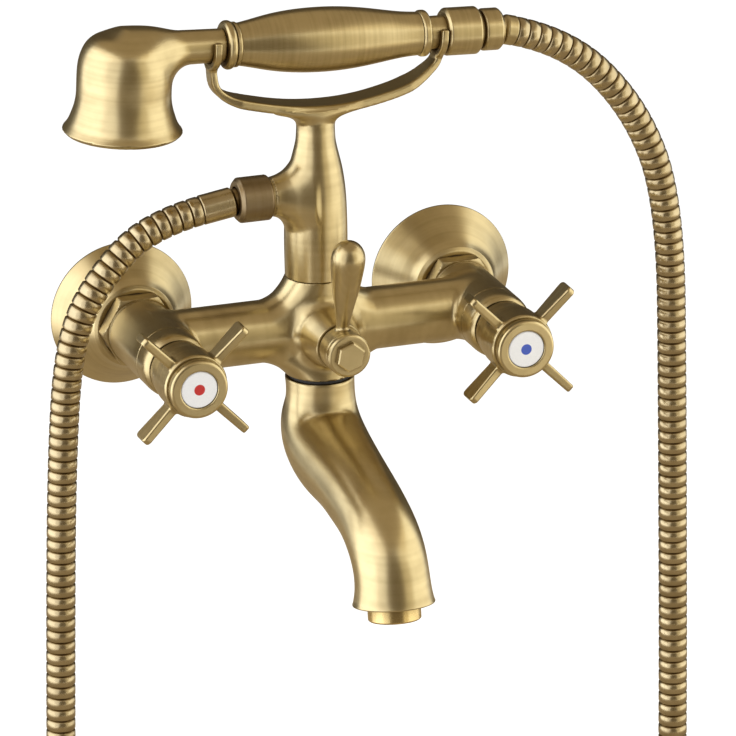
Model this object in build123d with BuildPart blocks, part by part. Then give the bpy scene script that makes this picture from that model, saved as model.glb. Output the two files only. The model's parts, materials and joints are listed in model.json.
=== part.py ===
from build123d import *
import math
import os

# Wall-mounted bath shower mixer with two cross handles, a lever diverter,
# a swan spout and a handset that rests on a cradle, joined by a ribbed hose.
# Lengths are millimetres. X runs along the wall, +Y goes into the wall, +Z is up.
# The origin lies on the wall face, midway between the two wall threads.
# Depths are measured out of the wall, along -Y. Heights are measured from the
# axis of the body's bar, which lies above the wall threads by their offset.

os.makedirs("parts", exist_ok=True)

# Main layout
inlet_spacing = 150.0
eccentric_offset = 8.0
body_depth = 45.0
spout_depth = 50.0
water_depth = 50.0
thread_clearance = 0.05
slip_clearance = 0.06
seat_clearance = 0.3
cut_overrun = 1.0

# Eccentric unions
wall_thread_radius = 10.48
wall_thread_length = 16.0
wall_bore_radius = 7.0
block_back = 1.0
block_thickness = 4.0
mixer_thread_radius = 13.2
mixer_thread_length = 16.0
mixer_bore_radius = 8.5
block_wall_radius = 12.0

# Gaskets, tail pieces and union nuts
gasket_thickness = 2.0
tail_collar_radius = 12.2
tail_collar_thickness = 3.0
tail_neck_radius = 10.2
tail_thread_radius = 9.4
tail_thread_length = 9.0
tail_bore_radius = 7.5
nut_across_flats = 30.0
nut_gap = 7.5
nut_skirt_radius = 14.9
nut_hexagon_back = 20.6
nut_hexagon_length = 7.2
nut_nose_radius = 14.6
nut_shoulder = 2.6
nut_hole_clearance = 0.1

# Wall covers
cover_radius = 32.5
cover_depth = 21.3
cover_wall = 1.1
cover_rim = 1.2
cover_curve_shares = (
    (0.958, 0.131), (0.868, 0.291), (0.775, 0.469),
    (0.695, 0.620), (0.638, 0.728), (0.575, 0.892),
)
cover_lip_radius = 17.0
cover_lip_depth = 20.3
cover_lip_bore = 15.2
cover_lip_length = 1.0
cover_depth_wall_share = 0.73

# Body casting
bar_radius = 13.8
housing_radius = 14.75
housing_back = 29.0
housing_front = 66.0
flare_half_width = 36.0
flare_half_depth = 12.4
top_boss_radius = 13.5
top_boss_height = 23.6
top_flare_shares = (
    (0.30, 0.86, 0.99), (0.53, 0.66, 1.00), (0.71, 0.515, 1.00), (0.87, 0.425, 1.00),
)
bottom_boss_radius = 15.3
bottom_boss_height = 19.6
bottom_flare_shares = (
    (0.36, 0.86, 0.86), (0.62, 0.69, 0.92), (0.83, 0.52, 0.98),
)
boss_front = 76.0
boss_length = 26.0
boss_front_radius = 10.6
boss_curve_shares = ((0.0, 1.415), (0.31, 1.32), (0.69, 1.132), (1.0, 1.0))
waterway_radius = 7.5
bar_bore_radius = 5.0
riser_bore_radius = 6.5
spout_feed_radius = 7.0
spout_feed_height = 11.0
valve_seat_depth = 44.0
valve_cavity_radius = 9.2
valve_thread_radius = 10.43
valve_thread_back = 56.0
diverter_cavity_radius = 9.0
diverter_cavity_back = 41.0
riser_socket_depth = 10.6

# Ceramic headworks
headwork_radius = 9.1
headwork_wall = 1.5
headwork_back_gap = 1.5
headwork_hexagon = 19.0
headwork_hexagon_length = 5.0
headwork_neck_radius = 6.5
headwork_neck_length = 9.0
window_width = 7.0
window_length = 4.0
window_start = 6.5
seal_inner_radius = 5.0
seal_length = 2.0
disc_radius = 7.5
disc_thickness = 2.5
disc_port_length = 8.0
disc_port_width = 3.2
spindle_flange_radius = 7.3
spindle_flange_length = 4.4
spindle_flange_gap = 0.2
spindle_radius = 4.0
spindle_length = 43.2
spindle_round_length = 32.2
spline_radius = 3.9
spindle_tap_radius = 2.0
spindle_tap_length = 12.0
spindle_ring_minor = 0.8
spindle_ring_back = 20.0
spindle_bore_clearance = 0.06

# Shrouds
shroud_length = 11.5
shroud_inner_radius = 11.2
shroud_front_wall = 1.5
shroud_round_shares = ((0.45, 1.0), (0.72, 0.982), (0.9, 0.935), (1.0, 0.868))
shroud_hole_clearance = 0.3

# Cross handles
handle_gap = 1.5
handle_length = 24.0
handle_radius = 14.25
handle_profile_shares = (
    (0.0, 0.905), (0.17, 0.94), (0.33, 0.975), (0.42, 1.0), (0.95, 1.0), (1.0, 0.97),
)
handle_cavity_radius = 11.3
handle_cavity_length = 11.0
handle_web_length = 9.0
handle_recess_radius = 10.0
arm_count = 4
arm_first_angle = 45.0
arm_root_radius = 12.0
arm_tip_radius = 33.0
arm_root_thickness = 4.3
arm_tip_thickness = 3.4
arm_root_width = 7.6
arm_tip_width = 10.6
arm_middle_share = 0.779
arm_edge_fillet = 0.9
arm_corner_fillet = 2.2
handle_screw_radius = 4.5
handle_screw_head = 3.0
handle_screw_shank = 10.0
handle_screw_key = 4.0
cap_radius = 13.0
cap_length = 4.4
cap_chamfer = 0.7
cap_nose_length = 2.5
cap_bore_radius = 7.0
cap_recess_length = 2.0
index_radius = 8.3
index_thickness = 1.6
index_bevel = 0.5

# Diverter
gland_length = 16.0
paddle_radius = 8.6
paddle_length = 17.0
paddle_back = 42.0
paddle_thickness = 6.0
diverter_ring_depth = 68.0
lever_hub_radius = 9.8
lever_hub_gap = 0.3
lever_hub_length = 9.7
lever_hub_fillet = 1.0
lever_root_depth = 78.9
lever_root_height = 7.6
lever_tip_depth = 88.6
lever_tip_height = 52.4
lever_ball_radius = 7.6
lever_curve_shares = (
    (0.0, 0.36), (0.10, 0.39), (0.20, 0.475), (0.35, 0.64), (0.50, 0.80),
    (0.64, 0.91), (0.78, 0.985), (0.85, 0.965), (0.91, 0.84), (0.965, 0.56),
)
diverter_cap_length = 3.0
diverter_cap_chamfer = 1.0
diverter_nose_radius = 6.0
diverter_nose_length = 2.0
diverter_key = 11.6
diverter_key_height = 2.4
diverter_key_chamfer = 0.5
diverter_key_turn = 20.0

# Swan spout and its fixing
nipple_radius = 11.0
nipple_length = 18.4
nipple_bore_radius = 7.0
nipple_thread_length = 8.4
spout_ring_minor = 1.0
spout_ring_heights = (-31.0, -35.5)
screw_groove_depth = 1.2
screw_groove_width = 4.4
screw_groove_height = -26.0
washer_radius = 14.0
washer_thickness = 1.5
spout_seat_gap = 0.1
spout_neck_radius = 15.3
spout_reach = 94.1
spout_drop = 73.4
spout_belly_radius = 18.45
spout_line_shares = (
    (0.0, 0.0, 0.829), (0.0, 0.038, 0.821), (-0.004, 0.12, 0.772), (-0.009, 0.202, 0.862),
    (0.006, 0.304, 0.962), (0.111, 0.409, 1.0), (0.264, 0.46, 0.976), (0.429, 0.488, 0.916),
    (0.589, 0.529, 0.889), (0.718, 0.572, 0.873), (0.835, 0.638, 0.878), (0.931, 0.74, 0.883),
    (0.978, 0.856, 0.889), (0.993, 0.937, 0.921), (1.0, 1.0, 0.976),
)
spout_waterway_shares = (0.60, 0.70, 0.80, 0.80, 0.76, 0.73, 0.71, 0.715, 0.715, 0.70, 0.64, 0.62)
spout_waterway_start = 3
spout_mouth_tilt = 10.0
grub_radius = 2.0
grub_length = 5.0
aerator_radius = 11.6
aerator_below = 7.0
aerator_inside = 8.0
aerator_wall = 1.2
aerator_insert_length = 7.0
aerator_insert_recess = 1.2
aerator_chamfer = 0.5
aerator_hole_radius = 0.7
aerator_rings = ((3.2, 6), (6.2, 12), (9.0, 18))

# Riser with its outlet and cradle
riser_thread_radius = 9.4
riser_thread_length = 10.2
riser_seam = 0.1
riser_radius = 13.9
riser_length = 69.3
riser_curve_shares = (
    (0.978, 0.0), (0.989, 0.105), (1.0, 0.235), (0.986, 0.394), (0.957, 0.524), (0.906, 0.625),
    (0.827, 0.719), (0.734, 0.798), (0.633, 0.885), (0.583, 0.949), (0.604, 1.0),
)
riser_depth = 45.3
outlet_height = 61.6
outlet_radius = 8.7
outlet_reach = 20.7
outlet_flare_shares = (
    (0.242, 1.425, 1.770, -0.253), (0.483, 1.310, 1.632, -0.184), (0.652, 1.172, 1.425, -0.115),
    (0.797, 1.057, 1.195, -0.057), (0.908, 1.011, 1.057, -0.011), (1.0, 1.0, 1.0, 0.0),
)
outlet_bore_radius = 5.5
outlet_thread_radius = 8.2
outlet_thread_length = 9.0
riser_bore_top = 68.0
cradle_left = -47.5
cradle_right = 56.5
cradle_saddle_radius = 7.6
cradle_outer_radius = 10.7
cradle_fork_thickness = 3.2
cradle_prong_height = 3.8
cradle_thickness = 4.2
cradle_end_thickness = 3.2
cradle_width = 13.0
cradle_end_width = 8.0
cradle_line_shares = (
    (-0.99, 0.845), (-1.0, 0.79), (-0.998, 0.702), (-0.977, 0.58), (-0.922, 0.485), (-0.817, 0.401),
    (-0.632, 0.327), (-0.421, 0.264), (-0.211, 0.219), (0.0, 0.193), (0.177, 0.19), (0.354, 0.216),
    (0.584, 0.28), (0.796, 0.388), (0.913, 0.507), (0.977, 0.605), (1.0, 0.69),
)
cradle_foot_shares = (
    (-0.079, 0.597, 0.597), (-0.005, 0.74, 0.565), (0.063, 1.05, 0.525), (0.127, 1.60, 0.488),
    (0.166, 2.20, 0.462),
)
cradle_prong_fillet = 1.2
cradle_taper_share = 0.75

# Handset, measured along its own tilted axis and up from it
handset_tilt = 2.76
handset_height = 130.9
head_along = -86.6
head_rim_below = 35.1
head_wall = 2.0
head_rim_radius = 26.2
head_height = 43.0
head_lip = 1.7
head_lip_radius = 24.5
head_curve_shares = (
    (1.0, 0.0), (0.925, 0.06), (0.868, 0.14), (0.812, 0.25), (0.787, 0.356), (0.786, 0.46),
    (0.786, 0.579), (0.771, 0.698), (0.725, 0.802), (0.63, 0.902), (0.496, 0.960), (0.28, 0.990),
    (0.0, 1.0),
)
head_tube_root_radius = 7.8
head_tube_radius = 7.3
head_tube_end = -42.6
head_tube_wall = 2.0
rose_radius = 22.8
rose_thickness = 3.0
rose_seat = 2.0
rose_hole_radius = 0.7
rose_rings = ((5.0, 6), (10.0, 12), (14.5, 18), (19.0, 24))
inner_tube_radius = 5.0
inner_tube_bore = 3.8
inner_tube_start = -42.3
inner_tube_end = 72.0
left_ring_radius = 10.7
left_ring_length = 4.0
ring_rounding = 0.9
left_ring_start = -42.5
small_ring_radius = 9.9
small_ring_length = 2.2
grip_end = 47.0
grip_radius = 14.1
grip_curve_shares = (
    (0.0, 0.652), (0.063, 0.723), (0.171, 0.858), (0.291, 0.957), (0.423, 1.0), (0.555, 0.986),
    (0.7, 0.901), (0.832, 0.78), (0.928, 0.702), (1.0, 0.674),
)
right_ring_radius = 10.2
right_ring_length = 4.2
right_neck_radius = 7.3
collar_start = 58.8
collar_end = 74.9
collar_radius = 10.5
collar_chamfer = 1.2
handset_thread_radius = 7.2
handset_thread_length = 4.2
hose_nut_start = 76.3
hose_nut_length = 9.3
hose_nut_radius = 9.3
hose_nut_chamfer = 1.6
hose_nut_end_wall = 2.2
ferrule_neck_radius = 5.4
ferrule_neck_length = 5.0
ferrule_flange_radius = 6.3
ferrule_flange_thickness = 1.4
ferrule_radius = 6.6
ferrule_length = 6.8
ferrule_droop = 15.0
ferrule_chamfer = 0.5
ferrule_gap = 0.8
ferrule_bore_radius = 3.4
ferrule_hole_clearance = 0.6

# Hose nut and ferrule at the riser
riser_nut_start = 21.9
riser_nut_length = 15.1
riser_nut_radius = 10.0
riser_nut_chamfer = 2.0
riser_nut_end_wall = 2.6
riser_ferrule_length = 16.2
riser_ferrule_flange_radius = 7.4
riser_ferrule_droop = 9.0
riser_ferrule_neck_length = 5.2
riser_hole_clearance = 0.7

# Ribbed hose
hose_radius = 6.5
hose_waist_radius = 5.9
hose_bore_radius = 4.0
hose_spigot_radius = 5.8
hose_socket_depth = 3.0
hose_rib_count = 196
route_share = 0.45
hose_rib_shares = ((0.0, 0), (0.16, 1), (0.72, 1), (0.88, 0))
hose_right_share = 0.20
hose_left_share = 0.76
# The hose hangs in the plane of the riser. Its points are places along X and heights
# above the bar's axis, from the handset's ferrule down and round to the riser's.
hose_points = (
    (149.0, 84.7), (167.0, 38.5), (169.5, -58.4), (172.6, -247.9), (171.0, -425.4),
    (85.9, -510.5), (-34.4, -510.5), (-119.5, -425.4), (-121.1, -295.0), (-119.8, -160.0),
    (-118.0, -52.0), (-113.5, 8.2), (-98.0, 35.5),
)
hose_first_run = 27.7
hose_last_run = 25.2

# Values worked out from the sizes above
block_middle = block_back + block_thickness / 2
half_spacing = inlet_spacing / 2
axis_z = eccentric_offset
block_front = block_back + block_thickness
union_front = block_front + mixer_thread_length
gasket_front = union_front + gasket_thickness
collar_front = gasket_front + tail_collar_thickness
nut_back = block_front + nut_gap
nut_hexagon_front = nut_hexagon_back + nut_hexagon_length
nut_front = collar_front + nut_shoulder
tail_front = housing_back + tail_thread_length
headwork_back = valve_seat_depth + headwork_back_gap
fixed_disc_back = valve_seat_depth + seal_length
moving_disc_back = fixed_disc_back + disc_thickness
spindle_back = moving_disc_back + disc_thickness + spindle_flange_gap
hexagon_front = housing_front + headwork_hexagon_length
neck_front = hexagon_front + headwork_neck_length
shroud_front = housing_front + shroud_length
spindle_front = spindle_back + spindle_flange_length + spindle_length
spindle_round_front = spindle_back + spindle_flange_length + spindle_round_length
spindle_tap_back = spindle_front - spindle_tap_length
handle_back = shroud_front + handle_gap
handle_web_back = handle_back + handle_cavity_length
handle_web_front = handle_web_back + handle_web_length
handle_front = handle_back + handle_length
arm_depth = handle_back + handle_length * arm_middle_share
lever_hub_back = boss_front + lever_hub_gap
lever_hub_front = lever_hub_back + lever_hub_length
diverter_cap_front = lever_hub_front + diverter_cap_length
diverter_shaft_front = lever_hub_front - diverter_nose_length - seat_clearance
tilt = math.radians(handset_tilt)
along = Vector(math.cos(tilt), 0, -math.sin(tilt))
above = Vector(math.sin(tilt), 0, math.cos(tilt))
handset_centre = Vector(0, -riser_depth, axis_z + handset_height)
nipple_bottom = bottom_boss_height + nipple_length
washer_front = bottom_boss_height + washer_thickness
spout_top = washer_front + spout_seat_gap
riser_bottom = top_boss_height + riser_seam
riser_top = riser_bottom + riser_length
sides = (("left", -half_spacing), ("right", half_spacing))


def valve_plane(x):
    """Sketch plane through a valve's axis: first value radius, second value depth."""
    return Plane(origin=(x, 0, axis_z), x_dir=(1, 0, 0), z_dir=(0, 0, -1))


def face_plane(x, depth, height=0):
    """Sketch plane parallel to the wall: first value along X, second value up."""
    return Plane(origin=(x, -depth, axis_z + height), x_dir=(1, 0, 0), z_dir=(0, -1, 0))


def level_plane(x, depth, height):
    """Sketch plane that lies level: first value along X, second value into the wall."""
    return Plane(origin=(x, -depth, axis_z + height), x_dir=(1, 0, 0), z_dir=(0, 0, 1))


def valve_axis(x):
    return Axis((x, 0, axis_z), (0, -1, 0))


def upright_axis(depth):
    return Axis((0, -depth, axis_z), (0, 0, 1))


def outline(plane, points):
    """Closed straight-sided profile on a plane."""
    with BuildSketch(plane) as drawn:
        with BuildLine():
            Polyline(*points, close=True)
        make_face()
    return drawn.sketch


def curved_outline(plane, curve, rest):
    """Closed profile with one smooth run, then straight sides back to its start."""
    with BuildSketch(plane) as drawn:
        with BuildLine():
            Spline(*curve)
            Polyline(curve[-1], *rest, curve[0])
        make_face()
    return drawn.sketch


def sleeve(plane, inner, outer, start, end):
    """Rectangle between two radii, for a turned sleeve."""
    return outline(plane, ((inner, start), (outer, start), (outer, end), (inner, end)))


def handset_plane(u=0):
    """Sketch plane on the handset's axis: first value along it, second value above it."""
    return Plane(origin=handset_centre + along * u, x_dir=along, z_dir=(0, -1, 0))


def across_plane(u):
    """Sketch plane square to the handset's axis, looking along it."""
    return Plane(origin=handset_centre + along * u, x_dir=(0, 1, 0), z_dir=along)


def handset_axis():
    return Axis(handset_centre, along)


# Eccentric unions and gaskets
for side, x in sides:
    with BuildPart() as eccentric:
        with BuildSketch(face_plane(x, -wall_thread_length, -eccentric_offset)):
            Circle(wall_thread_radius)
        extrude(amount=wall_thread_length + block_back)
        with BuildSketch(face_plane(x, block_back)):
            Circle(mixer_thread_radius)
            with Locations((0, -eccentric_offset)):
                Circle(block_wall_radius)
            make_hull()
        extrude(amount=block_thickness)
        with BuildSketch(face_plane(x, block_front)):
            Circle(mixer_thread_radius)
        extrude(amount=mixer_thread_length)
        with BuildSketch(face_plane(x, -wall_thread_length, -eccentric_offset)):
            Circle(wall_bore_radius)
        extrude(amount=wall_thread_length + block_middle, mode=Mode.SUBTRACT)
        with BuildSketch(face_plane(x, block_middle)):
            Circle(mixer_bore_radius)
        extrude(amount=union_front - block_middle, mode=Mode.SUBTRACT)
    eccentric.part.label = f"eccentric_union_{side}"
    export_step(eccentric.part, f"parts/eccentric_union_{side}.step")

    with BuildPart() as gasket:
        ring = sleeve(valve_plane(x), mixer_bore_radius, tail_collar_radius, union_front, gasket_front)
        revolve(ring, axis=valve_axis(x))
    gasket.part.label = f"inlet_gasket_{side}"
    export_step(gasket.part, f"parts/inlet_gasket_{side}.step")

# Tail pieces: collar behind the union nut, neck, and thread into the body
for side, x in sides:
    with BuildPart() as tail:
        half_section = outline(valve_plane(x), (
            (tail_bore_radius, gasket_front),
            (tail_collar_radius, gasket_front),
            (tail_collar_radius, collar_front),
            (tail_neck_radius, collar_front),
            (tail_neck_radius, housing_back),
            (tail_thread_radius, housing_back),
            (tail_thread_radius, tail_front),
            (tail_bore_radius, tail_front),
        ))
        revolve(half_section, axis=valve_axis(x))
    tail.part.label = f"inlet_nipple_{side}"
    export_step(tail.part, f"parts/inlet_nipple_{side}.step")

# Union nuts: round skirt inside the wall cover, hexagon in front of it, short round nose
for side, x in sides:
    with BuildPart() as nut:
        with BuildSketch(face_plane(x, nut_back)):
            Circle(nut_skirt_radius)
        extrude(amount=nut_hexagon_back - nut_back)
        with BuildSketch(face_plane(x, nut_hexagon_back)):
            RegularPolygon(nut_across_flats / 2, 6, major_radius=False)
        extrude(amount=nut_hexagon_length)
        with BuildSketch(face_plane(x, nut_hexagon_front)):
            Circle(nut_nose_radius)
        extrude(amount=nut_front - nut_hexagon_front)
        with BuildSketch(face_plane(x, nut_back)):
            Circle(mixer_thread_radius + thread_clearance)
        extrude(amount=collar_front - nut_back, mode=Mode.SUBTRACT)
        with BuildSketch(face_plane(x, collar_front)):
            Circle(tail_neck_radius + nut_hole_clearance)
        extrude(amount=nut_front - collar_front, mode=Mode.SUBTRACT)
    nut.part.label = f"union_nut_{side}"
    export_step(nut.part, f"parts/union_nut_{side}.step")

# Wall covers: spun bells round the union nuts' skirts, standing on the wall
for side, x in sides:
    with BuildPart() as cover:
        outer = [(cover_radius, cover_rim)]
        outer += [(cover_radius * r, cover_depth * d) for r, d in cover_curve_shares]
        inner = [
            (r - cover_wall, d - cover_wall * cover_depth_wall_share)
            for r, d in reversed(outer)
        ]
        with BuildSketch(valve_plane(x)):
            with BuildLine():
                Spline(*outer)
                Spline(*inner)
                Polyline(
                    outer[-1],
                    (cover_lip_radius, cover_lip_depth),
                    (cover_lip_bore, cover_lip_depth),
                    (cover_lip_bore, cover_lip_depth - cover_lip_length),
                    (cover_lip_radius - cover_wall, cover_lip_depth - cover_lip_length),
                    inner[0],
                )
                Polyline(inner[-1], (cover_radius - cover_wall, 0), (cover_radius, 0), outer[0])
            make_face()
        revolve(axis=valve_axis(x))
    cover.part.label = f"escutcheon_{side}"
    export_step(cover.part, f"parts/escutcheon_{side}.step")

# Body: bar, two valve housings, flared middle and the diverter boss, one casting
with BuildPart() as body:
    with BuildSketch(Plane(origin=(-half_spacing, -body_depth, axis_z), z_dir=(1, 0, 0))):
        Circle(bar_radius)
    extrude(amount=inlet_spacing)
    for side, x in sides:
        with BuildSketch(face_plane(x, housing_back)):
            Circle(housing_radius)
        extrude(amount=housing_front - housing_back)
    with BuildSketch(level_plane(0, body_depth, 0)):
        Ellipse(flare_half_width, flare_half_depth)
    for height, width, depth in top_flare_shares:
        with BuildSketch(level_plane(0, body_depth, top_boss_height * height)):
            Ellipse(flare_half_width * width, top_boss_radius * depth)
    with BuildSketch(level_plane(0, body_depth, top_boss_height)):
        Circle(top_boss_radius)
    loft()
    with BuildSketch(level_plane(0, body_depth, 0)):
        Ellipse(flare_half_width, flare_half_depth)
    for height, width, depth in bottom_flare_shares:
        lean = body_depth + (spout_depth - body_depth) * height
        with BuildSketch(level_plane(0, lean, -bottom_boss_height * height)):
            Ellipse(flare_half_width * width, bottom_boss_radius * depth)
    with BuildSketch(level_plane(0, spout_depth, -bottom_boss_height)):
        Circle(bottom_boss_radius)
    loft()
    boss_start = boss_front - boss_length
    boss_curve = [
        (boss_front_radius * r, boss_start + boss_length * d)
        for d, r in boss_curve_shares
    ]
    boss = curved_outline(valve_plane(0), boss_curve, ((0, boss_front), (0, boss_start)))
    revolve(boss, axis=valve_axis(0))
    # water passages
    with BuildSketch(Plane(origin=(-half_spacing, -water_depth, axis_z), z_dir=(1, 0, 0))):
        Circle(bar_bore_radius)
    extrude(amount=inlet_spacing, mode=Mode.SUBTRACT)
    for side, x in sides:
        passage = outline(valve_plane(x), (
            (0, housing_back),
            (tail_thread_radius + thread_clearance, housing_back),
            (tail_thread_radius + thread_clearance, tail_front),
            (waterway_radius, tail_front),
            (waterway_radius, valve_seat_depth),
            (valve_cavity_radius, valve_seat_depth),
            (valve_cavity_radius, valve_thread_back),
            (valve_thread_radius + thread_clearance, valve_thread_back),
            (valve_thread_radius + thread_clearance, housing_front),
            (0, housing_front),
        ))
        revolve(passage, axis=valve_axis(x), mode=Mode.SUBTRACT)
    with BuildSketch(face_plane(0, diverter_cavity_back)):
        Circle(diverter_cavity_radius)
    extrude(amount=boss_front - diverter_cavity_back, mode=Mode.SUBTRACT)
    with BuildSketch(level_plane(0, riser_depth, 0)):
        Circle(riser_bore_radius)
    extrude(amount=top_boss_height, mode=Mode.SUBTRACT)
    with BuildSketch(level_plane(0, riser_depth, top_boss_height - riser_socket_depth)):
        Circle(riser_thread_radius + thread_clearance)
    extrude(amount=riser_socket_depth, mode=Mode.SUBTRACT)
    with BuildSketch(level_plane(0, spout_depth, -bottom_boss_height)):
        Circle(spout_feed_radius)
    extrude(amount=bottom_boss_height, mode=Mode.SUBTRACT)
    with BuildSketch(level_plane(0, spout_depth, -bottom_boss_height)):
        Circle(tail_thread_radius + thread_clearance)
    extrude(amount=bottom_boss_height - spout_feed_height, mode=Mode.SUBTRACT)
body.part.label = "mixer_body"
export_step(body.part, "parts/mixer_body.step")

# Headworks: ceramic cartridge housing with its hexagon, neck and spindle bore
for side, x in sides:
    with BuildPart() as headwork:
        half_section = outline(valve_plane(x), (
            (spindle_radius + spindle_bore_clearance, valve_thread_back),
            (headwork_radius - headwork_wall, valve_thread_back),
            (headwork_radius - headwork_wall, headwork_back),
            (headwork_radius, headwork_back),
            (headwork_radius, valve_thread_back),
            (valve_thread_radius, valve_thread_back),
            (valve_thread_radius, housing_front),
            (headwork_neck_radius, housing_front),
            (headwork_neck_radius, neck_front),
            (spindle_radius + spindle_bore_clearance, neck_front),
        ))
        revolve(half_section, axis=valve_axis(x))
        with BuildSketch(face_plane(x, housing_front)):
            RegularPolygon(headwork_hexagon / 2, 6, major_radius=False)
            Circle(headwork_neck_radius, mode=Mode.SUBTRACT)
        extrude(amount=headwork_hexagon_length)
        with BuildSketch(face_plane(x, valve_seat_depth + window_start)):
            Rectangle(2 * headwork_radius + cut_overrun, window_width)
            Circle(headwork_radius - headwork_wall, mode=Mode.SUBTRACT)
        extrude(amount=window_length, mode=Mode.SUBTRACT)
    headwork.part.label = f"headwork_{side}"
    export_step(headwork.part, f"parts/headwork_{side}.step")

# Seat seals and the two ceramic discs of each valve
for side, x in sides:
    with BuildPart() as seal:
        ring = sleeve(valve_plane(x), seal_inner_radius, disc_radius, valve_seat_depth, fixed_disc_back)
        revolve(ring, axis=valve_axis(x))
    seal.part.label = f"seat_seal_{side}"
    export_step(seal.part, f"parts/seat_seal_{side}.step")

    for name, back in (("fixed", fixed_disc_back), ("moving", moving_disc_back)):
        with BuildPart() as disc:
            with BuildSketch(face_plane(x, back)):
                Circle(disc_radius - slip_clearance)
                with PolarLocations(disc_radius / 2, 2):
                    SlotOverall(disc_port_length, disc_port_width, rotation=90, mode=Mode.SUBTRACT)
            extrude(amount=disc_thickness)
        disc.part.label = f"{name}_disc_{side}"
        export_step(disc.part, f"parts/{name}_disc_{side}.step")

# Spindles, each with its O-ring in a groove
for side, x in sides:
    ring_depth = spindle_back + spindle_flange_length + spindle_ring_back
    with BuildPart() as spindle:
        half_section = outline(valve_plane(x), (
            (0, spindle_back),
            (spindle_flange_radius, spindle_back),
            (spindle_flange_radius, spindle_back + spindle_flange_length),
            (spindle_radius, spindle_back + spindle_flange_length),
            (spindle_radius, ring_depth - spindle_ring_minor),
            (spindle_radius - 2 * spindle_ring_minor, ring_depth - spindle_ring_minor),
            (spindle_radius - 2 * spindle_ring_minor, ring_depth + spindle_ring_minor),
            (spindle_radius, ring_depth + spindle_ring_minor),
            (spindle_radius, spindle_round_front),
            (spline_radius, spindle_round_front),
            (spline_radius, spindle_front),
            (spindle_tap_radius, spindle_front),
            (spindle_tap_radius, spindle_tap_back),
            (0, spindle_tap_back),
        ))
        revolve(half_section, axis=valve_axis(x))
    spindle.part.label = f"spindle_{side}"
    export_step(spindle.part, f"parts/spindle_{side}.step")

    with BuildPart() as seal_ring:
        with BuildSketch(valve_plane(x)):
            with Locations((spindle_radius - spindle_ring_minor, ring_depth)):
                Circle(spindle_ring_minor)
        revolve(axis=valve_axis(x))
    seal_ring.part.label = f"spindle_ring_{side}"
    export_step(seal_ring.part, f"parts/spindle_ring_{side}.step")

# Shrouds: turned sleeves in front of the valve housings
for side, x in sides:
    with BuildPart() as shroud:
        curve = [
            (housing_radius * r, housing_front + shroud_length * d)
            for d, r in shroud_round_shares
        ]
        half_section = curved_outline(valve_plane(x), curve, (
            (headwork_neck_radius + shroud_hole_clearance, shroud_front),
            (headwork_neck_radius + shroud_hole_clearance, shroud_front - shroud_front_wall),
            (shroud_inner_radius, shroud_front - shroud_front_wall),
            (shroud_inner_radius, housing_front),
            (housing_radius, housing_front),
        ))
        revolve(half_section, axis=valve_axis(x))
    shroud.part.label = f"shroud_{side}"
    export_step(shroud.part, f"parts/shroud_{side}.step")

# One flat blade of a cross handle, drawn along +X from the hub's axis
with BuildPart() as blade:
    with BuildSketch(Plane(origin=(arm_root_radius, 0, 0), x_dir=(0, 1, 0), z_dir=(1, 0, 0))):
        Rectangle(arm_root_thickness, arm_root_width)
    with BuildSketch(Plane(origin=(arm_tip_radius, 0, 0), x_dir=(0, 1, 0), z_dir=(1, 0, 0))):
        Rectangle(arm_tip_thickness, arm_tip_width)
    loft(ruled=True)
    tip_corners = blade.edges().group_by(Axis.X)[-1].filter_by(Axis.Y)
    fillet(tip_corners, radius=arm_corner_fillet)
    long_edges = blade.faces().sort_by(Axis.Y)[0].edges() + blade.faces().sort_by(Axis.Y)[-1].edges()
    root_edges = blade.edges().group_by(Axis.X)[0]
    fillet(long_edges.filter_by(lambda e: e not in root_edges), radius=arm_edge_fillet)

# Cross handles: round hub and four blades, one casting each
for side, x in sides:
    with BuildPart(face_plane(x, arm_depth)) as handle:
        curve = [
            (handle_radius * r, handle_back + handle_length * d)
            for d, r in handle_profile_shares
        ]
        half_section = outline(valve_plane(x), (
            *curve,
            (handle_recess_radius, handle_front),
            (handle_recess_radius, handle_web_front),
            (spline_radius + thread_clearance, handle_web_front),
            (spline_radius + thread_clearance, handle_web_back),
            (handle_cavity_radius, handle_web_back),
            (handle_cavity_radius, handle_back),
        ))
        revolve(half_section, axis=valve_axis(x))
        with PolarLocations(0, arm_count, start_angle=arm_first_angle):
            add(blade.part)
    handle.part.label = f"handle_{side}"
    export_step(handle.part, f"parts/handle_{side}.step")

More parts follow.
